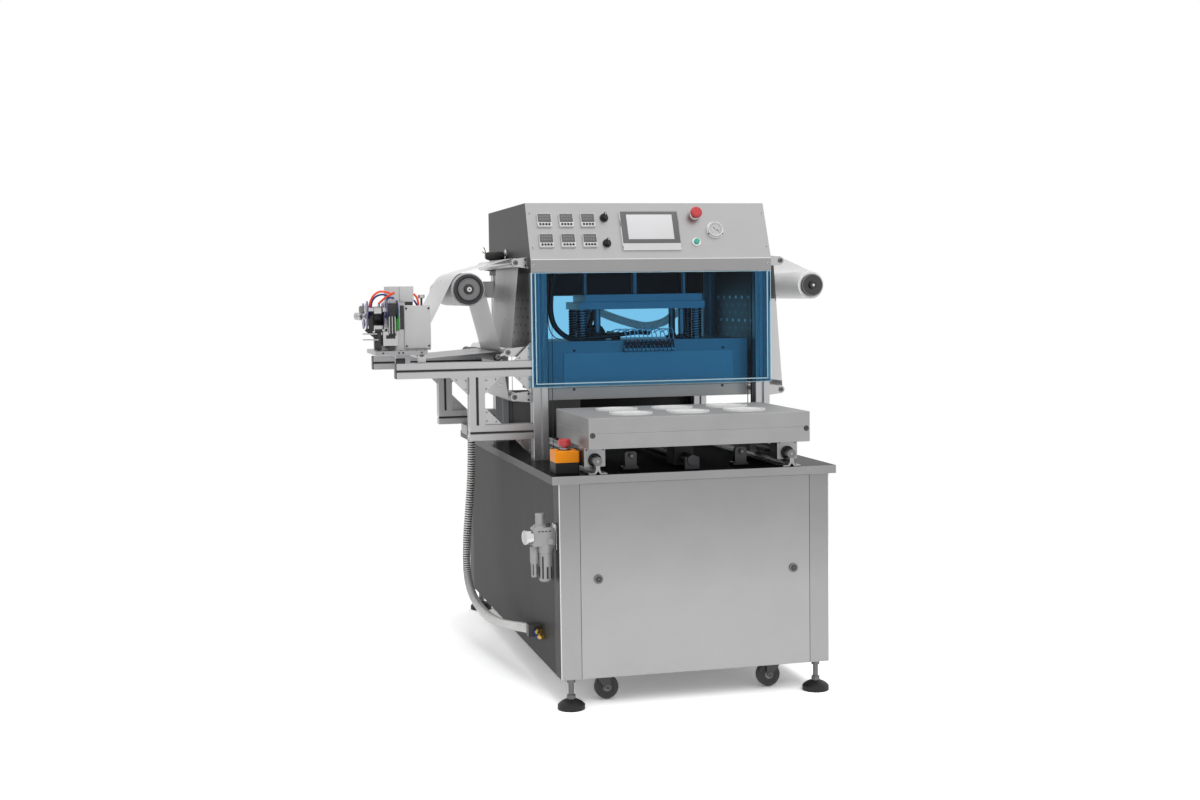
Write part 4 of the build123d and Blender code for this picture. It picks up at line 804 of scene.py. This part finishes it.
def reel_ends():
    """The chucks' faces and the supply reel's rear flange."""
    reel_near, reel_far = -325, 130
    face = Shape("supply_chuck_face", "aluminium", "dark_metal", "black", "disc", "chrome", body="film_reel")
    face.turned((SUPPLY[0], reel_near, SUPPLY[1]), NEAR,
                (0, 56, [(49.2, -11), (49.4, 1.0), (48.2, 2.6), (43, 3.4), (40.4, 3.0), (39.6, 0.2)]),
                (1, 56, [(39.6, 0.2), (36.4, 0.2)]),
                (2, 56, [(36.4, 0.2), (36.2, 5.4), (35.2, 6.6), (33.4, 6.8), (32.4, 5.6), (16, 5.6),
                         (14.4, 4.6), (13.2, 4.6)]),
                (0, 40, [(13.2, 4.6), (13.2, 12.6), (12.2, 13.6), (8.2, 13.8), (7.8, 12.6)]),
                (3, 24, [(7.8, 12.6), (4.8, 12.6), (4.8, 14.4), (4.0, 15.0), (2.6, 15.0)]),
                (1, 6, [(2.6, 15.0), (2.4, 13.0), (0, 13.0)]))
    face.done()
    rear = Shape("supply_rear_flange", "aluminium", "dark_metal", body="film_reel")
    rear.lathe((SUPPLY[0], reel_far, SUPPLY[1]), FAR, [(12.2, 0.5), (49, 0.5), (50, 1.5), (50, 8.5),
                                                       (49, 9.5), (14, 9.5), (14, 22), (12.2, 22)], 0, 48)
    rear.done()
    face = Shape("rewind_chuck_face", "aluminium", "dark_metal", "fork", "disc", "chrome", body="waste_reel")
    face.turned((REWIND[0], reel_near, REWIND[1]), NEAR,
                (0, 48, [(38.2, -10.8), (38.8, -8), (38.8, 1.5)]),
                (2, 48, [(38.8, 1.5), (37.2, 3.4), (34.6, 3.8)]),
                (1, 48, [(34.6, 3.8), (34.0, 3.2), (13.2, 3.2)]),
                (0, 36, [(13.2, 3.2), (13.2, 12.6), (12.0, 13.8), (8.6, 13.8), (8.0, 11.8)]),
                (3, 24, [(8.0, 11.8), (4.8, 11.8), (4.8, 13.6), (3.8, 14.4), (0, 14.4)]))
    face.done()


def roller_ends():
    """A washer and bolt on each end of each roller, and the bolts of the roller brackets."""
    for name, (x, z) in ROLLERS.items():
        cap = Shape("roller_end_" + name, "aluminium", "disc", "screw", body="turning_roller_" + name)
        for y, out in ((ROLLER_NEAR, NEAR), (ROLLER_FAR, FAR)):
            cap.turned((x, y, z), out,
                       (0, 24, [(5.0, 0.05), (5.0, 0.6), (8.6, 0.6), (8.6, 2.4), (7.6, 3.2), (4.2, 3.2)]),
                       (1, 6, [(4.2, 3.2), (3.8, 1.4), (0, 1.4)]))
        cap.done()
    bolts = Shape("bracket_bolts", "stainless", "screw", "black")
    outward = 7
    for name, wall in (("upper_left", -HOOD_SIDE - outward), ("upper_right", HOOD_SIDE + outward),
                       ("table", -STATION_SIDE - outward), ("entry", -STATION_SIDE - outward),
                       ("exit", STATION_SIDE + outward)):
        for dz in (-10, 10):
            for y, out in ((ROLLER_NEAR, NEAR), (ROLLER_FAR, FAR)):
                bolts.screw((wall, y, ROLLERS[name][1] + dz), out, 3.6, 0, 1)
    bolts.done()


# The sealing head and what hangs round it

def terminal_poles():
    """The poles of the terminal strip, each with its screw, ferrule and wire."""
    strip = Shape("terminal_poles", "aluminium", "grey_plastic", "bright", "red", "wire_white",
                  body="sealing_head")
    poles, first, pitch = 12, -83, 15
    for k in range(poles):
        x = first + pitch * k
        strip.box(x - 5.6, x + 5.6, -322.5, -314, 1069.5, 1078, 0, 0.8)
        strip.screw((x, -322.5, 1074), NEAR, 3.2, 1)
        strip.box(x - 6.6, x - 5.6, -321, -301, 1070, 1088, 0, 0.2)
        strip.rod((x, -314, 1088), (x + 1, -304, 1106), 3.0, 2, 10)
        bend = (k % 3 - 1) * 9
        strip.tube(smooth_line([(x + 1, -304, 1105), (x + 4, -300, 1120), (x - 4 + bend / 2, -294, 1141),
                                (x - 22 + bend, -274, 1140), (x - 40 + bend, -250, 1128)], 5), 1.7, 3, 6)
    strip.done()


def head_cables():
    """The black cables that come down from the hood with an orange wire, and the ribbed clear hose."""
    loom = Shape("head_loom", "black_plastic", "black", "hose_orange", body="sealing_head")
    run = [(-316, -255, 1333), (-328, -258, 1276), (-332, -262, 1202), (-316, -268, 1151), (-270, -272, 1114),
           (-212, -272, 1114), (-153, -268, 1117), (-88, -262, 1124), (-34, -255, 1129), (14, -250, 1127)]
    beside = [(x + 9, y + 11, z + (3 if i > 3 else 0)) for i, (x, y, z) in enumerate(run)]
    loom.wires((7.0, 0, 12, run), (5.0, 0, 10, beside),
               (1.6, 1, 6, [(-322, -250, 1333), (-334, -258, 1290), (-340, -262, 1220), (-336, -264, 1150),
                            (-318, -262, 1120), (-296, -250, 1112)]))
    loom.done()
    hose = Shape("vacuum_hose", "film", "clear_hose", "bright", body="sealing_head")
    run = [(-133, -24, 1206), (-112, -22, 1198), (-60, -20, 1177), (14, -20, 1154), (63, -20, 1147),
           (120, -20, 1160), (158, -16, 1184), (188, -12, 1200)]
    hose.tube(smooth_line(run, 14), 15, 0, 18, ribs=(6.0, 2.4, 0))
    hose.rod((-150, -26, 1204), (-128, -24, 1204), 17, 1, 20)
    hose.done()


def head_valves():
    valves = Shape("head_valves", "black_plastic", "black", "dark_metal", "brass", body="sealing_head")
    valves.box(-214, -186, -150, -96, HEAD_TOP, 1136, 0, 2.5)
    valves.box(-183, -142, -158, -108, HEAD_TOP, 1146, 1, 3)
    valves.lathe((-150, -140, HEAD_TOP), UP, [(34, 0), (34, 16), (31, 30), (22, 44), (10, 52), (0, 53)])
    valves.rod((-176, -140, 1146), (-152, -132, 1206), 8, 0, 14)
    valves.rod((-128, -150, 1122), (-84, -150, 1122), 7, 1, 14)
    valves.rod((-120, -176, 1130), (-96, -176, 1130), 5, 2, 12)
    valves.box(-98, -70, -170, -130, HEAD_TOP, 1130, 0, 2)
    valves.done()


def head_springs():
    """The four coil springs on the head, and the collars of the pillars beside them."""
    coils, steps, coil_r, wire_r, low, high, spring_x, pillar_x = 11, 12, 17.6, 2.2, 1109, 96, 204, 150
    for side, tag in ((-1, "left"), (1, "right")):
        coil = Shape("head_springs_" + tag, "aluminium", "dark_metal", body="sealing_head")
        for y in (STATION_Y - 70, STATION_Y + 70):
            turns = []
            for k in range(coils * steps + 1):
                turn = 2 * pi * k / steps
                turns.append((side * spring_x + coil_r * cos(turn), y + coil_r * sin(turn),
                              low + k * high / (coils * steps)))
            coil.tube(turns, wire_r, 0, 6)
            coil.lathe((side * pillar_x, y, HEAD_TOP), UP, [(12.1, 14), (15, 14), (15, 8), (22, 8), (23, 7),
                                                            (23, 0)])
        coil.done()


def sealing_head():
    screws = Shape("head_screws", "chrome", "bright", "screw", body="sealing_head")
    for y, z in ((-300, 1074), (-304, 945)):
        for x in (-259, 261):
            screws.screw((x, y, z), NEAR, 4.6, 1, 1)
    screws.done()
    terminal_poles()
    head_cables()
    head_valves()
    head_springs()
    beads = Shape("grille_bolts", "stainless", "screw")
    for side, out in ((-GRILLE_SIDE, LEFT), (GRILLE_SIDE, RIGHT)):
        for y in (-300, -150, 0, 150, 300):
            beads.screw((side, y, 1075), out, 3.2)
    beads.done()


# Carriage, rails and worktop controls

MOULD_Y, MOULD_SCREWS_X, MOULD_SCREW_Z = -877, (-339, 339), 841
CUPS_X, CUPS_Y, CUP_TOP, CUP_FLANGE = (-184, 0, 184), (-743.5, -571.5), 898, 893
BEARING_NEAR, BEARING_FAR = -786, -471
STOPS_X, STOP_Z, RAIL_SCREW_PITCH = (-180, 180), 761, 150
STOP_BUTTON = (-389.5, -717.5, 786)


def mould_details():
    """The screws on the mould's front and the seams of the cups."""
    screws = Shape("mould_screws", "aluminium", "screw", "black", body="tray_carriage")
    for x in MOULD_SCREWS_X:
        screws.turned((x, MOULD_Y, MOULD_SCREW_Z), NEAR,
                      (1, 24, [(8.6, 0.02), (8.4, 0.25), (6.6, 0.25), (6.4, 0.05)]),
                      (0, 24, [(6.2, 0.05), (6.0, 0.35), (3.2, 0.35)]),
                      (1, 6, [(3.2, 0.35), (3.0, 0.1), (0, 0.1)]))
    screws.done()
    lids = Shape("cup_seams", "cup_plastic", "bezel_grey", body="tray_carriage")
    for y in CUPS_Y:
        for x in CUPS_X:
            lids.lathe((x, y, CUP_TOP), UP, [(62.4, 0.02), (62.0, 0.35), (60.6, 0.35), (60.2, 0.02)], 0, 48)
            lids.lathe((x, y, CUP_FLANGE), UP, [(68.6, 0.02), (68.3, 0.5), (67.1, 0.5)], 0, 48)
    lids.done()


def bearing_seals():
    """The rubber wipers round the shafts, open below as the bearings are, and the bearings' front screws."""
    seals = Shape("bearing_seals", "rubber", "rubber", "screw", body="tray_carriage")
    wiper_r, wiper_out, first, sweep, steps = 18.2, 1.6, -58, 296, 24
    turns = [radians(first + sweep * k / steps) for k in range(steps + 1)]
    for x in RAILS_X:
        for y in (BEARING_NEAR - wiper_out, BEARING_FAR + wiper_out):
            arc = [(x + wiper_r * cos(turn), y, SHAFT_Z + wiper_r * sin(turn)) for turn in turns]
            seals.tube(arc, 3.4, 0, 8)
        for dx in (-26, 26):
            seals.screw((x + dx, BEARING_NEAR, 790), NEAR, 2.8, 1)
    seals.done()


def rail_details():
    """The stops' buffers, the screws of stops and rails, the shafts' ends and a black sheet between the rails
    as painted shade.
    """
    stops = Shape("stop_screws", "dark_sheet", "screw", "disc", "black")
    for x in STOPS_X:
        stops.lathe((x, -722, STOP_Z), NEAR, [(9.5, 0), (9.5, 3.4), (8.4, 4.6), (4.8, 4.6)], 0, 6)
        stops.rod((x, -726, STOP_Z), (x, -735, STOP_Z), 4.6, 1, 14)
        for dx in (-17, 17):
            stops.screw((x + dx, -700, 726), UP, 3.2, 0, 2)
    for x in RAILS_X:
        for y in range(-800, 340, RAIL_SCREW_PITCH):
            for dx in (-20.5, 20.5):
                stops.screw((x + dx, y, 723), UP, 3.0, 1, 2)
    stops.done()
    shafts = Shape("shaft_end_rings", "aluminium", "disc")
    for x in RAILS_X:
        shafts.lathe((x, -826, SHAFT_Z), NEAR, [(13.9, -0.2), (13.2, 0.6), (4.2, 0.6), (3.4, -1.6),
                                                (0, -1.6)], 0, 32)
    shafts.done()
    side, low, high = 286, 718.02, 718.5
    shade_liner = Shape("worktop_shade_liner", "rubber", "shade_liner")
    shade_liner.prism([(-side, low), (side, low), (side, high), (-side, high)], -818, 372)
    shade_liner.done()


def button_box_trim():
    """The collar and ring under the worktop's stop button, and the screws of its box."""
    trim = Shape("button_box_trim", "black_plastic", "black", "chrome", "screw")
    x, y, top = STOP_BUTTON
    trim.turned((x, y, top), UP, (0, 32, [(20, 0), (20, 2.6), (18, 3.4), (15, 3.4), (15, 0.2)]),
                (1, 32, [(14.9, 0.3), (14.9, 5.3), (13.6, 6.0), (11.2, 6.0), (11.2, 4.0)]))
    for dy in (-35, 35):
        for dx in (-30, 30):
            trim.screw((x + dx, y + dy, top), UP, 2.6, 2)
    trim.done()


# The date coder

def coder_trim():
    """The coder's front covers, brackets, pins, cylinders and valves."""
    trim = Shape("coder_trim", "black_plastic", "grey_plastic", "screw", "bright", "dark_metal",
                 "green_strip", "black")
    grey, screw, bright, dark, green, black = range(6)
    trim.box(-835, -751.6, -424, -417.8, 1097, 1232, grey, 1.2)
    for z in (1224, 1105):
        for x in (-829, -758):
            trim.screw((x, -424, z), NEAR, 3.4, screw)
    trim.boxes((-848, -804, -422, -417.8, 1246, 1294, grey, 1.0),
               (-848, -836, -419.5, -400, 1158, 1234, dark, 1.0),
               (-861, -850, -421, -404, 1155, 1221, green, 1.2),
               (-905, -857, -436, -396, 1107, 1153, bright, 2.0),
               (-895, -866, -438, -434, 1130, 1141, black, 1.0),
               (-886, -867, -436, -420, 1094, 1106, dark, 1.0))
    for x in (-885, -876, -867):
        trim.rod((x, -446, 1146), (x, -446, 1200), 1.9, bright, 10)
    for x in (-892, -860):
        trim.rod((x, -414, 1100), (x, -414, 1160), 3.0, black, 10)
    trim.rod((-940, -424, 1153), (-940, -424, 1203), 8.5, black)
    trim.rod((-957, -424, 1161), (-926, -424, 1136), 6.2, black, 14)
    trim.rod((-968, -430, 1146), (-922, -430, 1146), 2.2, bright, 10)
    trim.rod((-968, -430, 1128), (-918, -430, 1127), 2.2, bright, 10)
    trim.boxes((-932, -906, -424, -398, 1161, 1172, bright, 1.2),
               (-928, -904, -426, -400, 1150, 1160, black, 1.0),
               (-930, -908, -422, -390, 1094, 1150, dark, 1.5))
    trim.rod((-777, -402, 1233), (-777, -402, 1254), 3.4, black, 12)
    trim.lathe((-777, -402, 1254), UP, [(4, 0), (10.5, 3), (10.5, 12), (9.5, 13.2), (0, 13.2)], bright, 24)
    trim.box(-846, -806, -416, -392, 1234, 1245.5, black, 1.2)
    for x, y in ((-920, -432), (-772, -432), (-848, -434), (-800, -434)):
        trim.screw((x, y, 1091), UP, 3.4, screw)
    trim.box(-858, -828, -368, -352, 1047.2, 1064, dark, 1.0)
    trim.done()


def near_spool():
    """The third ribbon spool, before the coder, with its tension wheel and knob."""
    spool = Shape("coder_near_spool", "ribbon", "ribbon", "black", "bright", "disc")
    y, z, wheel_z = -425, 1221, 1222
    for x in (-892, -859):
        spool.lathe((x, y, z), RIGHT, [(0, 0), (29.6, 0), (30.6, 0.8), (30.6, 2.0), (29.6, 3.0), (0, 3.0)],
                    0, 40)
    spool.lathe((-889, y, z), RIGHT, [(0, 0.1), (20.5, 0.1), (20.5, 29.9), (0, 29.9)], 1, 36)
    spool.lathe((-904, y, z), RIGHT, [(0, 0), (7.2, 0), (8, 0.8), (8, 12), (0, 12)], 2, 20)
    spool.box(-887, -864, -444, -442.4, 1140, 1222, 1, 0.3)
    spool.lathe((-932, y, 1218), RIGHT, [(0, 0), (10.5, 0), (11.5, 1), (11.5, 24), (10.5, 25), (0, 25)], 2)
    spool.lathe((-953, y, wheel_z), RIGHT, [(0, 0), (27.6, 0), (28.4, 0.8), (28.4, 2.2), (27.6, 3), (0, 3)],
                0, 36)
    spool.rod((-964, y, wheel_z), (-930, y, wheel_z), 7, 2)
    spool.lathe((-977.4, y, wheel_z), RIGHT, [(0, 0.4), (8, 0.4), (12, 2), (12.6, 4), (12.6, 12),
                                              (11.4, 14.4), (0, 14.4)], 3)
    spool.done()


def ribbons():
    """The screws of the coder's base, the two wound ribbons and the knobs of their spindles."""
    edge = Shape("coder_base_edge", "aluminium", "screw")
    for x in (-906, -856, -843, -784):
        edge.screw((x, -440, 1084.5), NEAR, 3.2)
    edge.done()
    for tag, y in RIBBONS_Y.items():
        wound = Shape("ribbon_wound_" + tag, "ribbon", "black", "bright", body=tag + "_ribbon")
        wound.lathe((-946, y, RIBBON_Z), RIGHT, [(20.2, 0.2), (30, 0.4), (30.4, 1.2), (30.4, 46.6),
                                                 (30, 47.4), (20.2, 47.6)], 0, 40)
        for x, out in ((-949, LEFT), (-895, RIGHT)):
            wound.lathe((x, y, RIBBON_Z), out, [(20, 0.05), (20, 1.6), (17, 2.4), (6.3, 2.4), (6.3, 0.05)], 1)
        wound.done()
    knobs = Shape("spindle_knobs", "chrome", "bright")
    for y in RIBBONS_Y.values():
        knobs.lathe((-977.6, y, RIBBON_Z), RIGHT, [(0, 0.4), (7, 0.4), (11.4, 2), (11.8, 4), (11.8, 13),
                                                   (10.5, 15), (6.05, 15)])
        knobs.lathe((-960, y, RIBBON_Z), RIGHT, [(6.05, 0), (9, 0), (9, 7), (6.05, 7)], 0, 20)
    knobs.done()


def coder_tubes():
    pipes = Shape("coder_tubes", "red_plastic", "hose_orange", "hose_blue")
    r, thin, sides = 3.4, 3.2, 10
    pipes.wires((r, 0, sides, [(-943, -405, 1215), (-941, -410, 1240), (-931, -414, 1264),
                               (-911, -416, 1278), (-888, -416, 1276), (-870, -414, 1270)]),
                (r, 0, sides, [(-914, -408, 1240), (-895, -414, 1257), (-880, -418, 1267),
                               (-864, -419, 1275)]),
                (3.6, 0, sides, [(-802, -410, 1270), (-792, -412, 1257), (-787, -410, 1234)]),
                (thin, 1, sides, [(-938, -398, 1215), (-934, -402, 1245), (-922, -404, 1262),
                                  (-902, -406, 1269), (-881, -406, 1264)]),
                (thin, 1, sides, [(-892, -412, 1236), (-888, -414, 1252), (-880, -416, 1259),
                                  (-866, -418, 1257)]),
                (thin, 1, sides, [(-806, -404, 1250), (-799, -404, 1247), (-791, -402, 1234)]))
    pipes.done()


# The air unit and the conduit

AIR_Y, BOWL_X, SMALL_BOWL_X, GAUGE_OUT = -762, -462, -497, (-1, -0.22, 0)


def bowl_cage(unit, middle, reach, first, bars):
    """Upright bars at that reach round a bowl; each bar is its box, drawn across the way outward."""
    for k, bar in enumerate(bars):
        turn = 2 * pi * k / len(bars) + first
        place = Vector(middle) + Vector((cos(turn), sin(turn), 0)) * reach
        unit.frame = Matrix.Translation(place) @ Matrix.Rotation(turn - pi / 2, 4, "Z")
        unit.box(*bar)
    unit.frame = Matrix.Identity(4)


def air_unit():
    """The air unit's block, knob, two caged bowls, gauge and fittings."""
    unit = Shape("air_unit_parts", "grey_plastic", "cast", "chrome", "black", "screw", "bright")
    y = AIR_Y
    cast, chrome, black, screw, bright = range(5)
    unit.boxes((-506, -436, y - 22, y + 22, 500, 560, cast, 6),
               (-436, -433.1, y - 27, y + 27, 490, 566, bright, 0.6))
    unit.lathe((-480, y, 560), UP, [(22, -4), (22, 3), (17, 6), (13.6, 8)], cast, 32)
    unit.lathe((-480, y, 568), UP, [(13.6, 0), (13.6, 26), (14.0, 27), (14.0, 31), (12.6, 33), (0, 33)],
               cast, 24)
    unit.lathe((BOWL_X, y + 2, 484), UP, [(24, -2), (25.2, 0), (25.2, 20), (22, 24), (0, 24)], cast, 36)
    unit.lathe((BOWL_X, y + 2, 484), DOWN, [(24.2, 0), (24.2, 4), (22.6, 6), (22.2, 80), (21.6, 88),
                                            (17, 92.6), (0, 93)], cast, 36)
    unit.lathe((SMALL_BOWL_X, y + 8, 492), DOWN, [(12, -8), (12.8, 0), (12.8, 40), (11.2, 44), (10.6, 80),
                                                  (9, 87), (0, 88)], cast)
    bars = [(-2.6, 2.6, -1.0, 0.9, 402, 438 if k % 3 else 470, black, 0.4) for k in range(10)]
    bowl_cage(unit, (BOWL_X, y + 2, 0), 22.1, 0.3, bars)
    bowl_cage(unit, (SMALL_BOWL_X, y + 8, 0), 10.9, 0, [(-1.5, 1.5, -0.8, 0.6, 412, 446, black, 0.3)] * 6)
    unit.rod((-500, y - 6, 528), (-510, y - 8, 530), 6.5, chrome, 14)
    unit.lathe((-506, y - 6, 530), GAUGE_OUT, [(0, 0), (20, 0), (22.5, 2.5), (22.5, 22), (21.4, 24.6),
                                               (19.4, 25), (18.4, 23), (0, 23)], chrome, 36)
    unit.lathe((-529, y - 11, 530), GAUGE_OUT, [(18, 0), (0, 0.2)], bright, 32)
    unit.rod((-452, y - 20, 516), (-452, y - 26.5, 516), 9.5, cast, 20)
    unit.lathe((-456, y - 10, 560), UP, [(6, -2), (6, 7), (5, 10), (0, 11)], screw, 16)
    unit.rod((-441, y - 12, 548), (-434, y - 14, 568), 8, bright)
    for k in range(4):
        unit.box(-490 + 11 * k, -483 + 11 * k, y - 22.6, y - 21.6, 546, 549, black, 0.2)
    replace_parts(unit.done(), "air_unit")


CONDUIT_ROUTE = [(-515, 250, 776), (-516, 252, 690), (-520, 256, 580), (-530, 262, 460), (-540, 262, 350),
                 (-545, 240, 255), (-540, 170, 185), (-525, 60, 150), (-510, -70, 140), (-496, -200, 148),
                 (-482, -320, 165), (-470, -430, 182), (-455, -520, 192)]
CONDUIT_R, RIB_PITCH, RIB_DEPTH, RIB_SHARP = 16.0, 8.8, 3.0, 60


def conduit_line():
    """Points in metres along the smooth line that the route's points steer."""
    curve = bpy.data.curves.new("conduit_line", "CURVE")
    curve.dimensions = "3D"
    curve.resolution_u = 12
    spline = curve.splines.new("NURBS")
    spline.points.add(len(CONDUIT_ROUTE) - 1)
    for point, place in zip(spline.points, CONDUIT_ROUTE):
        point.co = (*at(*place), 1.0)
    spline.order_u = 3
    spline.use_endpoint_u = True
    line = bpy.data.objects.new("conduit_line", curve)
    bpy.context.scene.collection.objects.link(line)
    bpy.context.view_layer.update()
    run = bpy.data.meshes.new_from_object(line)
    points = [vert.co.copy() for vert in run.vertices]
    bpy.data.meshes.remove(run)
    bpy.data.objects.remove(line)
    return points


def conduit():
    """The ribbed conduit from the worktop's rear left to the cabinet's side, and the fittings of its ends."""
    points = conduit_line()
    tube = Shape("conduit_tube", "grey_plastic", "conduit", "conduit_hollow_shade")
    # The hollows between the ribs take the dark finish: painted shade.
    tube.tube([p / MM - SHIFT for p in points], CONDUIT_R, 0, 20, ribs=(RIB_PITCH, RIB_DEPTH, 1))
    piece = tube.done(RIB_SHARP)
    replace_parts(piece, "conduit")
    ends = Shape("conduit_fittings", "grey_plastic", "conduit", "brass", "hose_blue")
    ends.lathe((-455, -519, 192), (0.17, -0.95, 0.1), [(16.6, -8), (17.6, -6), (17.6, 8), (15, 11), (0, 11)])
    for y, z in ((-548, 190), (-580, 180)):
        ends.rod((-433.2, y, z), (-447, y, z), 9, 1, 6)
        ends.rod((-447, y, z), (-458, y + 3, z - 3), 8, 2, 18)
        ends.rod((-447, y - 6, z + 6), (-452, y - 18, z + 2), 7, 1)
    ends.lathe((-515, 250, 777), DOWN, [(16.2, 0), (20, 0), (20, 14), (18, 18), (16.2, 18)])
    ends.done()


# The film sensor and the film frame's bolts

def film_sensor():
    """The small sensor on its stay above the film, by the hood's left side."""
    parts = Shape("film_sensor", "black_plastic", "black", "bright", "brass")
    y, z = 40, 1404
    parts.rod((-HOOD_SIDE, y, z), (-470, y, z), 6, 1, 14)
    parts.lathe((-HOOD_SIDE, y, z), LEFT, [(18, 0), (18, 4), (16.5, 5), (6, 5)], 1, 24)
    parts.lathe((-421, y, 1398), LEFT, [(0, 0), (9, 1), (14.5, 6), (15.6, 18), (15.6, 50), (13.6, 62),
                                        (9, 69), (0, 70)])
    parts.box(-452, -428, 34, 50, 1396, 1412.6, 0, 3)
    parts.wires((1.6, 0, 8, [(-482, 40, 1404), (-489, 38, 1411), (-492, 36, 1422), (-497, 34, 1428)]),
                (1.6, 2, 8, [(-484, 42, 1402), (-493, 42, 1409), (-500, 40, 1413)]))
    parts.done()


def frame_bolts():
    """Bolts of the corner plates and end caps of the grooved beams."""
    bolts = Shape("gusset_bolts", "stainless", "bright", "screw")
    over, under = BEAM_Z + PROFILE_HALF, BEAM_Z - PROFILE_HALF
    left, right = POST_X - PROFILE_HALF, POST_X + PROFILE_HALF
    corners = [(-STATION_SIDE, under, -1, -1), (-STATION_SIDE, over, -1, 1), (left, under, -1, -1),
               (right, under, 1, -1), (right, LOW_BEAM_Z + PROFILE_HALF, 1, 1),
               (-STATION_SIDE, LOW_BEAM_Z - PROFILE_HALF, -1, -1)]
    plate = 2
    for x, z, dx, dz in corners:  # a corner and the way its legs run
        for y, out in ((COLUMNS_Y[0] - plate, NEAR), (COLUMNS_Y[1] + plate, FAR)):
            for along, up in ((9, 40), (40, 9), (9, 12)):
                bolts.screw((x + dx * along, y, z + dz * up), out, 3.2, 0, 1)
    bolts.done()
    caps = Shape("beam_caps", "black_plastic", "black")
    half = 24.5
    for y in COLUMNS_Y:
        caps.box(-858.6, -856.05, y - half, y + half, BEAM_Z - half, BEAM_Z + half, 0, 1.0)
    caps.done()


controller_faces()
screen_face()
gauge_face()
hood_screws()
switch_trim()
cabinet_details()
highlight_lines()
shade_screens()
film_frame()
grille_slots()
film_web()
reel_ends()
roller_ends()
sealing_head()
mould_details()
bearing_seals()
rail_details()
button_box_trim()
coder_trim()
near_spool()
ribbons()
coder_tubes()
air_unit()
conduit()
film_sensor()
frame_bolts()


# The floor and the lamps, in metres of the row frame, and the camera, whose place is in the drawing

WHITE = (1, 1, 1, 1)
FLOOR_HALF, FLOOR_TONE, FLOOR_SEEN, FADE_FROM, FADE_TO, GLOW = 60.0, 0.82, 1.9, 1.7, 3.0, 0.30
SOFT_SKY = 0.55
LAMPS = {"key": ((0.6, -5.0, 4.4), (0.1, -0.2, 0.8), 3.2, 120),
         "top": ((0.2, -0.3, 5.2), (0.1, -0.1, 0.8), 4.4, 115),
         "left": ((-4.6, -1.8, 2.6), (0.0, 0.0, 0.8), 2.4, 15)}
LENS, SENSOR, CAMERA_AT = 47.23, 36.0, (-1458.7, -5406.8, 1269.5)
CAMERA_RIGHT, CAMERA_UP, CAMERA_FORWARD = ((0.96927, -0.24566, -0.01337), (0.02982, 0.06337, 0.99754),
                                           (0.24421, 0.96728, -0.06875))


def background_rays(tree):
    """1 for the rays that show a background: the camera's, and those in metal and glass."""
    path = add(tree, "LightPath").outputs
    seen = maths(tree, "MAXIMUM", path["Is Camera Ray"], path["Is Glossy Ray"])
    return maths(tree, "MAXIMUM", seen, path["Is Transmission Ray"])


def stage():
    """A pale floor that turns into the white background some way off."""
    half = FLOOR_HALF
    data = bpy.data.meshes.new("floor")
    corners = [(-half, -half, 0), (half, -half, 0), (half, half, 0), (-half, half, 0)]
    data.from_pydata(corners, [], [(0, 1, 2, 3)])
    floor = bpy.data.objects.new("floor", data)
    bpy.context.scene.collection.objects.link(floor)
    made = bpy.data.materials.new("floor")
    tree = empty_tree(made)
    seen = background_rays(tree)
    pale = add(tree, "BsdfDiffuse", {"Color": shade(FLOOR_TONE)})
    glow = add(tree, "Emission", {"Color": WHITE, "Strength": maths(tree, "MULTIPLY", seen, GLOW)})
    mirrored = add(tree, "AddShader", {0: pale.outputs[0], 1: glow.outputs[0]})
    bright = add(tree, "BsdfDiffuse", {"Color": (FLOOR_SEEN, FLOOR_SEEN, FLOOR_SEEN, 1)})
    near = blend_shader(tree, add(tree, "LightPath").outputs["Is Camera Ray"], mirrored, bright)
    place = add(tree, "SeparateXYZ", {0: add(tree, "TexCoord").outputs["Object"]}).outputs
    reach = maths(tree, "SQRT", maths(tree, "ADD", maths(tree, "MULTIPLY", place[0], place[0]),
                                      maths(tree, "MULTIPLY", place[1], place[1])))
    away = add(tree, "MapRange", {0: reach, 1: FADE_FROM, 2: FADE_TO, 3: 0.0, 4: 1.0},
               interpolation_type="SMOOTHSTEP").outputs[0]
    white = add(tree, "Emission", {"Color": WHITE, "Strength": 1.0})
    both = blend_shader(tree, maths(tree, "MULTIPLY", away, seen), near, white)
    add(tree, "OutputMaterial", {0: both.outputs[0]})
    data.materials.append(made)


def lighting():
    """A soft surround, white where it is seen, and lamps that don't show in mirrors."""
    world = bpy.data.worlds.new("studio")
    bpy.context.scene.world = world
    tree = empty_tree(world)
    seen = background_rays(tree)
    soft = add(tree, "Background", {"Color": WHITE, "Strength": SOFT_SKY})
    white = add(tree, "Background", {"Color": WHITE, "Strength": 1.0})
    add(tree, "OutputWorld", {0: blend_shader(tree, seen, soft, white).outputs[0]})
    for name, (place, aim, size, power) in LAMPS.items():
        data = bpy.data.lights.new(name, "AREA")
        data.shape = "RECTANGLE"
        data.size = data.size_y = size
        data.energy = power
        made = bpy.data.objects.new(name, data)
        made.location = place
        made.rotation_euler = (Vector(aim) - Vector(place)).to_track_quat("-Z", "Y").to_euler()
        made.visible_glossy = False
        bpy.context.scene.collection.objects.link(made)


def camera():
    """The photograph's camera, as it was fitted to the cabinet's and the hood's edges."""
    data = bpy.data.cameras.new("camera")
    data.sensor_width = SENSOR
    data.lens = LENS
    data.clip_end = 200.0
    made = bpy.data.objects.new("camera", data)
    turn = Matrix((CAMERA_RIGHT, CAMERA_UP, -Vector(CAMERA_FORWARD))).transposed()
    made.matrix_world = Matrix.Translation(at(*CAMERA_AT)) @ turn.to_4x4()
    bpy.context.scene.collection.objects.link(made)
    bpy.context.scene.camera = made


stage()
lighting()
camera()
bpy.context.scene.view_settings.view_transform = "Standard"
